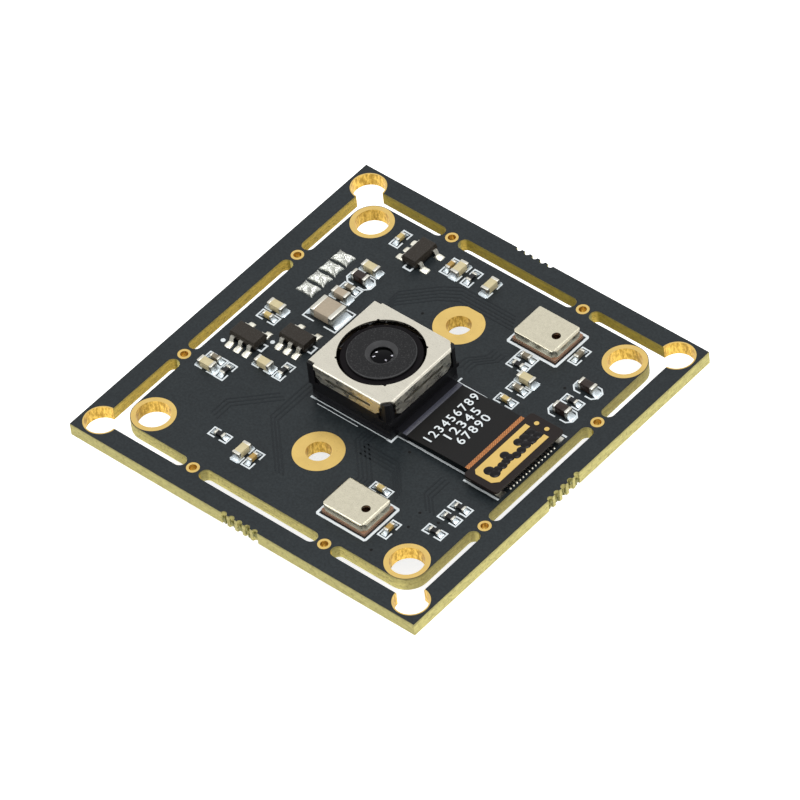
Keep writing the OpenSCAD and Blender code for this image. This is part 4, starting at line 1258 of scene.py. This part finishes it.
class BoardDress:
    """Traces under the mask, tented vias, and torn laminate at the break-off bites."""

    VIAS = ((-3.4, 8.25), (11.9, 8.65), (4.05, -11.05), (4.15, -12.55), (11.35, -9.3),
            (11.6, -11.05), (10.8, -14.8), (13.3, -9.25), (6.2, -4.6))
    VIA = 0.13
    TRACE = 0.15
    PITCH = 0.42
    BROKEN_SIDES = (0, 180, 270)
    SLIVERS = 26
    SLIVER_PITCH = 0.17

    def __init__(self, board: Box) -> None:
        """Args: board: the board's box."""
        self.board = board

    def build(self) -> None:
        """Builds the traces, the vias and the torn edges."""
        pen = Pen(self.board.high.z, self.TRACE, rise=0.018, waver=0.0)
        for path in self.routes():
            pen.line(path)
        pen.object("traces", Finishes.TRACE)
        vias = Pen(self.board.high.z, self.TRACE, rise=0.012, waver=0.0)
        for x, y in self.VIAS:
            vias.dot(x, y, self.VIA)
        vias.object("tented_vias", Finishes.FILM)
        self.tears()

    def routes(self) -> list[list[Point]]:
        """Returns the paths of the traces, as bundles of parallel lines."""
        bundles = (
            ([(-5.1, 3.0), (-5.1, -8.3), (-0.6, -12.8)], 3, (-1, 0)),
            ([(-6.0, 6.4), (-6.0, 7.6), (-3.4, 10.2), (-1.8, 11.2), (4.0, 11.2)], 5, (-0.45, 0.85)),
            ([(1.6, -5.2), (1.6, -6.2), (4.6, -9.2), (4.6, -11.4)], 4, (0.9, 0.3)),
            ([(2.6, -6.0), (6.2, -6.0), (8.6, -8.4)], 4, (0.2, -0.9)),
            ([(10.2, -5.2), (10.2, -7.4), (11.6, -8.8)], 3, (1, 0)),
            ([(-6.2, -6.2), (-9.4, -9.4), (-9.4, -11.2)], 3, (-1, 0.4)),
            ([(2.9, 5.3), (2.9, 6.4), (4.2, 7.7), (4.2, 8.6)], 4, (1, 0)),
        )
        paths = []
        for path, count, step in bundles:
            for i in range(count):
                dx, dy = step[0] * self.PITCH * i, step[1] * self.PITCH * i
                paths.append([(x + dx, y + dy) for x, y in path])
        return paths

    def tears(self) -> None:
        """Adds ragged slivers of laminate between the bites of each broken edge."""
        rng = random.Random(SEED)
        half = self.board.high.x
        thick = self.board.size.z
        bm = bmesh.new()
        for turn in self.BROKEN_SIDES:
            rows = bmesh.new()
            for i in range(self.SLIVERS):
                along = (i - (self.SLIVERS - 1) / 2) * self.SLIVER_PITCH * MM
                along += rng.uniform(-0.04, 0.04) * MM
                deep = rng.uniform(0.12, 0.30) * MM
                low = self.board.low.z + thick * rng.uniform(0.03, 0.5)
                tall = thick * rng.uniform(0.2, 0.45)
                wide = rng.uniform(0.05, 0.12) * MM
                block(
                    rows,
                    Vector((half - deep, along - wide, low)),
                    Vector((half - rng.uniform(0.005, 0.05) * MM, along + wide, low + tall)),
                    0.025 * MM, 1,
                )
            carry(bm, rows, Matrix.Rotation(math.radians(turn), 4, "Z"))
        piece("torn_laminate", bm, Finishes.TORN)


# ---- The camera and its tail ----


@dataclass(frozen=True)
class Row:
    """One row of digits across the tail: where it is along the tail, and how long it runs."""

    text: str
    share: float
    length: float


class FlexDress:
    """Print on the tail, resin over the islands of the gold patch, and a lighter strip at the tongue's
    edge as a painted reflection.
    """

    ROWS = (Row("123456789", 0.26, 6.4), Row("12345", 0.43, 4.0), Row("67890", 0.60, 3.8))
    CAP = 0.92
    SHIFT = 0.1
    ISLANDS = (
        (-0.40, 1.45, 0.44), (0.30, 1.60, 0.47), (0.40, 0.90, 0.42), (0.42, 0.25, 0.42),
        (-0.35, -0.35, 0.44), (0.15, -0.30, 0.44), (0.20, -0.85, 0.40), (0.25, -1.35, 0.44),
        (0.22, -1.90, 0.40), (-0.25, -2.45, 0.50), (0.32, -2.40, 0.50), (-0.30, 2.15, 0.48),
        (0.35, 2.30, 0.46), (-0.25, 2.90, 0.46), (0.35, 3.00, 0.44),
    )
    PATCH_REACH = 3.4
    DOME = 0.13
    # The width of the painted reflection strip.
    BEAD = 0.5

    def build(self) -> None:
        """Prints the tail, covers the islands and adds the painted reflection strip."""
        self.digits()
        self.resin()
        self.reflection_strip()

    def reflection_strip(self) -> None:
        """Adds a thin lighter strip where the tail leaves the tongue: a painted reflection of the tongue's
        edge.
        """
        tail, seat = Box.of("flex_tail"), Box.of("camera_substrate")
        low = Vector((tail.low.x - self.BEAD * MM, tail.low.y, seat.high.z))
        high = Vector((tail.low.x - 0.03 * MM, tail.high.y, seat.high.z + 0.03 * MM))
        bm = bmesh.new()
        block(bm, low, high, 0.012 * MM, 2)
        piece("tail_painted_reflection", bm, Finishes.REFLECTION_STRIP)

    def digits(self) -> None:
        """Prints three rows of plain digits across the tail."""
        tail, head = Box.of("flex_tail"), Box.of("connector_board")
        bm = bmesh.new()
        for row in self.ROWS:
            mesh = self.letters(row)
            x = tail.low.x + row.share * (head.low.x - tail.low.x)
            place = Matrix.Translation((x, tail.centre.y + self.SHIFT * MM, tail.high.z + 0.002 * MM))
            mesh.transform(place @ Matrix.Rotation(math.pi / 2, 4, "Z"))
            bm.from_mesh(mesh)
            bpy.data.meshes.remove(mesh)
        piece("tail_print", bm, Finishes.INK, smooth=20)

    def letters(self, row: Row) -> bpy.types.Mesh:
        """Returns one row's digits as a mesh round the origin, at its real length and height."""
        curve = bpy.data.curves.new("digits", "FONT")
        curve.body = row.text
        curve.size = self.CAP * 1.4 * MM
        curve.extrude = 0.006 * MM
        curve.offset = 0.012 * MM
        curve.space_character = 1.25
        curve.align_x = "CENTER"
        curve.align_y = "CENTER"
        curve.resolution_u = 3
        carrier = bpy.data.objects.new("digits", curve)
        bpy.context.scene.collection.objects.link(carrier)
        graph = bpy.context.evaluated_depsgraph_get()
        mesh = bpy.data.meshes.new_from_object(carrier.evaluated_get(graph))
        bpy.data.objects.remove(carrier)
        bpy.data.curves.remove(curve)
        low = Vector(map(min, *(v.co for v in mesh.vertices)))
        high = Vector(map(max, *(v.co for v in mesh.vertices)))
        wide, tall = row.length * MM / (high.x - low.x), self.CAP * MM / (high.y - low.y)
        stretch = Matrix.Diagonal((wide, tall, 1, 1))
        mesh.transform(stretch @ Matrix.Translation(-(low + high) / 2))
        return mesh

    def resin(self) -> None:
        """Adds glossy resin domes over the islands of the gold patch."""
        patch = Box.of("flex_ground_pad")
        middle = Vector((patch.centre.x, patch.low.y + self.PATCH_REACH * MM, patch.low.z))
        bm = bmesh.new()
        for x, y, radius in self.ISLANDS:
            verts = bmesh.ops.create_uvsphere(bm, u_segments=28, v_segments=14, radius=1.0)["verts"]
            squash = Matrix.Diagonal((radius * MM, radius * MM, self.DOME * MM, 1))
            place = Matrix.Translation(middle + Vector((x, y, 0)) * MM)
            bmesh.ops.transform(bm, matrix=place @ squash, verts=verts)
            bottom = [v for v in verts if v.co.z < middle.z - 0.01 * MM]
            bmesh.ops.delete(bm, geom=bottom, context="VERTS")
        rims = [e for e in bm.edges if e.is_boundary]
        bmesh.ops.holes_fill(bm, edges=rims, sides=0)
        piece("island_resin", bm, Finishes.RESIN, smooth=60)


class SolderDress:
    """Lumpy solder on the wire connector's pins, the regulators' leads and the socket's contacts."""

    STEPS = 26
    WAIST = 0.13
    WRINKLE = 0.24
    FOOT = (0.88, 0.68)
    FOOT_BACK = 0.12
    FOOT_RISE = 0.17
    BEAD = (0.14, 0.10, 0.14)

    def __init__(self, nodes: dict[str, bpy.types.Object], board: Box) -> None:
        """Args:
            nodes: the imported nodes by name.
            board: the board's box.
        """
        self.nodes = nodes
        self.board = board

    def build(self) -> None:
        """Builds all three kinds of joint."""
        bm = bmesh.new()
        for i, box in enumerate(islands(self.nodes["wire_solder_joints"])):
            self.lump(bm, box, i)
        piece("wire_joints", bm, Finishes.JOINT, ["wire_solder_joints"], smooth=60)
        bm = bmesh.new()
        for i, box in enumerate(islands(self.nodes["regulator_leads"])):
            self.mound(bm, box, i)
        piece("lead_solder", bm, Finishes.LEAD, smooth=60)
        bm = bmesh.new()
        for i, box in enumerate(islands(self.nodes["socket_contacts"])):
            self.bead(bm, box, i)
        piece("contact_solder", bm, Finishes.LEAD, smooth=60)

    def bead(self, bm: bmesh.types.BMesh, box: Box, seed: int) -> None:
        """Adds the small bead of solder at the end of a socket contact."""
        side = 1 if box.centre.x > Box.of("socket_housing").centre.x else -1
        tip = Vector((box.high.x if side > 0 else box.low.x, box.centre.y, self.board.high.z))
        verts = bmesh.ops.create_uvsphere(bm, u_segments=12, v_segments=8, radius=1.0)["verts"]
        swell = 1 + 0.2 * noise.noise(Vector((seed * 1.7, 0.3, 0.1)))
        for vert in verts:
            u, v, w = vert.co
            run = (u * self.BEAD[0] + 0.02) * side
            vert.co = tip + Vector((run, v * self.BEAD[1], max(-0.02, w * self.BEAD[2] * swell))) * MM

    def lump(self, bm: bmesh.types.BMesh, box: Box, seed: int) -> None:
        """Adds a joint that is pulled out to its land's corners, with ridges that run to them."""
        grid = bmesh.ops.create_grid(bm, x_segments=self.STEPS, y_segments=self.STEPS, size=1.0)["verts"]
        half, top = box.size / 2, box.high.z - self.board.high.z
        for vert in grid:
            u, v = vert.co.x, vert.co.y
            edge = 1 - max(abs(u), abs(v))
            ridge = math.exp(-(((abs(u) - abs(v)) / 0.16) ** 2)) * min(1.0, edge * 3) * 0.3
            wrinkle = noise.noise(Vector((u * 2.6 + seed * 3.1, v * 2.6, seed))) * min(1.0, edge * 4)
            rise = 0.72 * ((1 - u**2) * (1 - v**2)) ** 0.45 + ridge + self.WRINKLE * wrinkle
            vert.co = Vector((
                box.centre.x + u * half.x * (1 - self.WAIST * (1 - v**2)),
                box.centre.y + v * half.y * (1 - self.WAIST * (1 - u**2)),
                self.board.high.z + max(0.0, rise) * top * 0.98,
            ))
        skirt(bm, grid, self.board.high.z)

    def mound(self, bm: bmesh.types.BMesh, box: Box, seed: int) -> None:
        """Adds a low square-cornered mound of solder round a lead's foot."""
        regulators = [Box.of(f"regulator_{i}") for i in (1, 2, 3)]
        nearest = min(regulators, key=lambda b: (b.centre - box.centre).length)
        away = box.centre - nearest.centre
        along_x = box.size.x > box.size.y
        if along_x:
            out, reach = Vector((math.copysign(1, away.x), 0, 0)), box.size.x
        else:
            out, reach = Vector((0, math.copysign(1, away.y), 0)), box.size.y
        foot = box.centre + out * (reach / 2 - self.FOOT_BACK * MM)
        grid = bmesh.ops.create_grid(bm, x_segments=12, y_segments=12, size=1.0)["verts"]
        long, wide = self.FOOT[0] / 2 * MM, self.FOOT[1] / 2 * MM
        for vert in grid:
            u, v = vert.co.x, vert.co.y
            lump = 1 + 0.10 * noise.noise(Vector((u * 1.5 + seed, v * 1.5, seed)))
            rise = ((1 - u**4) * (1 - v**4)) ** 0.6 * (1 - 0.3 * u) * lump
            run, side = u * long * (1 - 0.08 * v**2), v * wide * (1 - 0.08 * u**2)
            across = Vector((0, side, 0)) if along_x else Vector((side, 0, 0))
            spot = foot + out * run + across
            vert.co = Vector((spot.x, spot.y, self.board.high.z + rise * self.FOOT_RISE * MM))
        skirt(bm, grid, self.board.high.z)


# ---- Studio ----


@dataclass(frozen=True)
class Studio:
    """A pale floor, soft light all round, and the camera."""

    azimuth: float = 45.65
    elevation: float = 46.02
    roll: float = -6.86
    distance: float = 0.615
    lens: float = 331.5
    aim: tuple[float, float, float] = (0.0, 0.0, 1.3)
    drift_right: float = 0.9
    drift_down: float = 1.022
    floor: float = 1.2
    floor_glow: float = 0.74
    sky: float = 0.42
    GLINTS = ((-0.63, 0.45, 0.45), (-0.61, 0.29, 0.60), (-0.24, 0.60, 0.62), (-0.22, 0.36, 0.80))

    def build(self, low: Vector, nodes: dict[str, bpy.types.Object]) -> None:
        """Builds the whole studio.

        Args:
            low: the lowest corner of the part, which the floor touches.
            nodes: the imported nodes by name.
        """
        self.camera()
        self.world()
        self.ground(low.z)
        self.lamp("top_light", (0.12, 0.10, 0.95), 0.45, 5.2)
        self.lamp("right_light", (0.80, -0.15, 0.42), 0.35, 1.6)
        self.lamp("left_light", (-0.30, -0.80, 0.42), 0.35, 2.0)
        for i, place in enumerate(self.GLINTS):
            self.lamp(f"window_{i}", place, 0.05, 0.5, only=nodes["lens_1"])
        bpy.context.scene.view_settings.view_transform = "Standard"

    def camera(self) -> None:
        """Places the camera by its bearing, its roll and the point it looks at."""
        a, e = math.radians(self.azimuth), math.radians(self.elevation)
        back = Vector((math.sin(a) * math.cos(e), -math.cos(a) * math.cos(e), math.sin(e)))
        turn = Matrix.Rotation(math.radians(self.roll), 4, back)
        right = turn @ Vector((math.cos(a), math.sin(a), 0))
        up = back.cross(right)
        data = bpy.data.cameras.new("view")
        data.lens = self.lens
        data.sensor_width = 36.0
        data.clip_start, data.clip_end = 0.05, 20.0
        obj = bpy.data.objects.new("view", data)
        place = Vector(self.aim) * MM + back * self.distance
        place += (right * self.drift_right - up * self.drift_down) * MM
        obj.matrix_world = Matrix.Translation(place) @ Matrix((right, up, back)).transposed().to_4x4()
        bpy.context.scene.collection.objects.link(obj)
        bpy.context.scene.camera = obj

    def world(self) -> None:
        """Makes a plain white surround."""
        world = bpy.data.worlds.new("surround")
        world.use_nodes = True
        sheet = Sheet(world.node_tree)
        shade = world.node_tree.nodes["Background"]
        path = sheet.add("LightPath")
        seen = path.outputs["Is Camera Ray"]
        for kind in ("Is Glossy Ray", "Is Transmission Ray"):
            seen = sheet.math("MAXIMUM", seen, path.outputs[kind])
        sheet.feed(shade.inputs["Strength"], sheet.fit(seen, 0.0, 1.0, self.sky, 1.0))
        shade.inputs["Color"].default_value = (1.0, 1.0, 1.0, 1.0)
        bpy.context.scene.world = world

    def ground(self, height: float) -> None:
        """Makes the floor, bright enough to stay pale under the part."""
        bm = bmesh.new()
        bmesh.ops.create_grid(bm, x_segments=1, y_segments=1, size=self.floor)
        mesh = bpy.data.meshes.new("floor")
        bm.to_mesh(mesh)
        bm.free()
        floor = bpy.data.objects.new("floor", mesh)
        floor.location.z = height
        bpy.context.scene.collection.objects.link(floor)
        material = bpy.data.materials.new("pale_floor")
        material.use_nodes = True
        sheet = Sheet(material.node_tree)
        shader = material.node_tree.nodes["Principled BSDF"]
        shader.inputs["Base Color"].default_value = (0.9, 0.9, 0.9, 1.0)
        shader.inputs["Roughness"].default_value = 1.0
        shader.inputs["Specular IOR Level"].default_value = 0.0
        shader.inputs["Emission Color"].default_value = (1.0, 1.0, 1.0, 1.0)
        shader.inputs["Emission Strength"].default_value = self.floor_glow
        mesh.materials.append(material)
        floor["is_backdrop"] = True

    def lamp(
        self,
        name: str,
        place: Sequence[float],
        side: float,
        power: float,
        only: bpy.types.Object | None = None,
    ) -> None:
        """Adds a square soft light that faces the part.

        Args:
            name: the light's name.
            place: where it stands, in metres.
            side: the length of its side, in metres.
            power: its power, in watts.
            only: the single piece that it lights, where it doesn't light them all.
        """
        data = bpy.data.lights.new(name, "AREA")
        data.shape = "SQUARE"
        data.size = side
        data.energy = power
        obj = bpy.data.objects.new(name, data)
        obj.location = place
        obj.rotation_mode = "QUATERNION"
        obj.rotation_quaternion = Vector(place).to_track_quat("Z", "Y")
        if only:
            lit = bpy.data.collections.new(f"{name}_lights")
            lit.objects.link(only)
            obj.light_linking.receiver_collection = lit
        bpy.context.scene.collection.objects.link(obj)


def main() -> None:
    """Builds the dressed camera board and its studio."""
    logging.basicConfig(level=logging.INFO, format="%(name)s: %(message)s")
    noise.seed_set(SEED)
    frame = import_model()
    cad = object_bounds()
    nodes = frame["nodes"]
    board = Box.of("board")
    parts = Parts(nodes, board)
    PackedNodes(nodes).build()
    PartDress(parts).build()
    Silkscreen(nodes, board, parts).build()
    BoardDress(board).build()
    FlexDress().build()
    SolderDress(nodes, board).build()
    Studio().build(cad[0], nodes)
    bpy.context.view_layer.update()


if __name__ == "__main__":
    main()
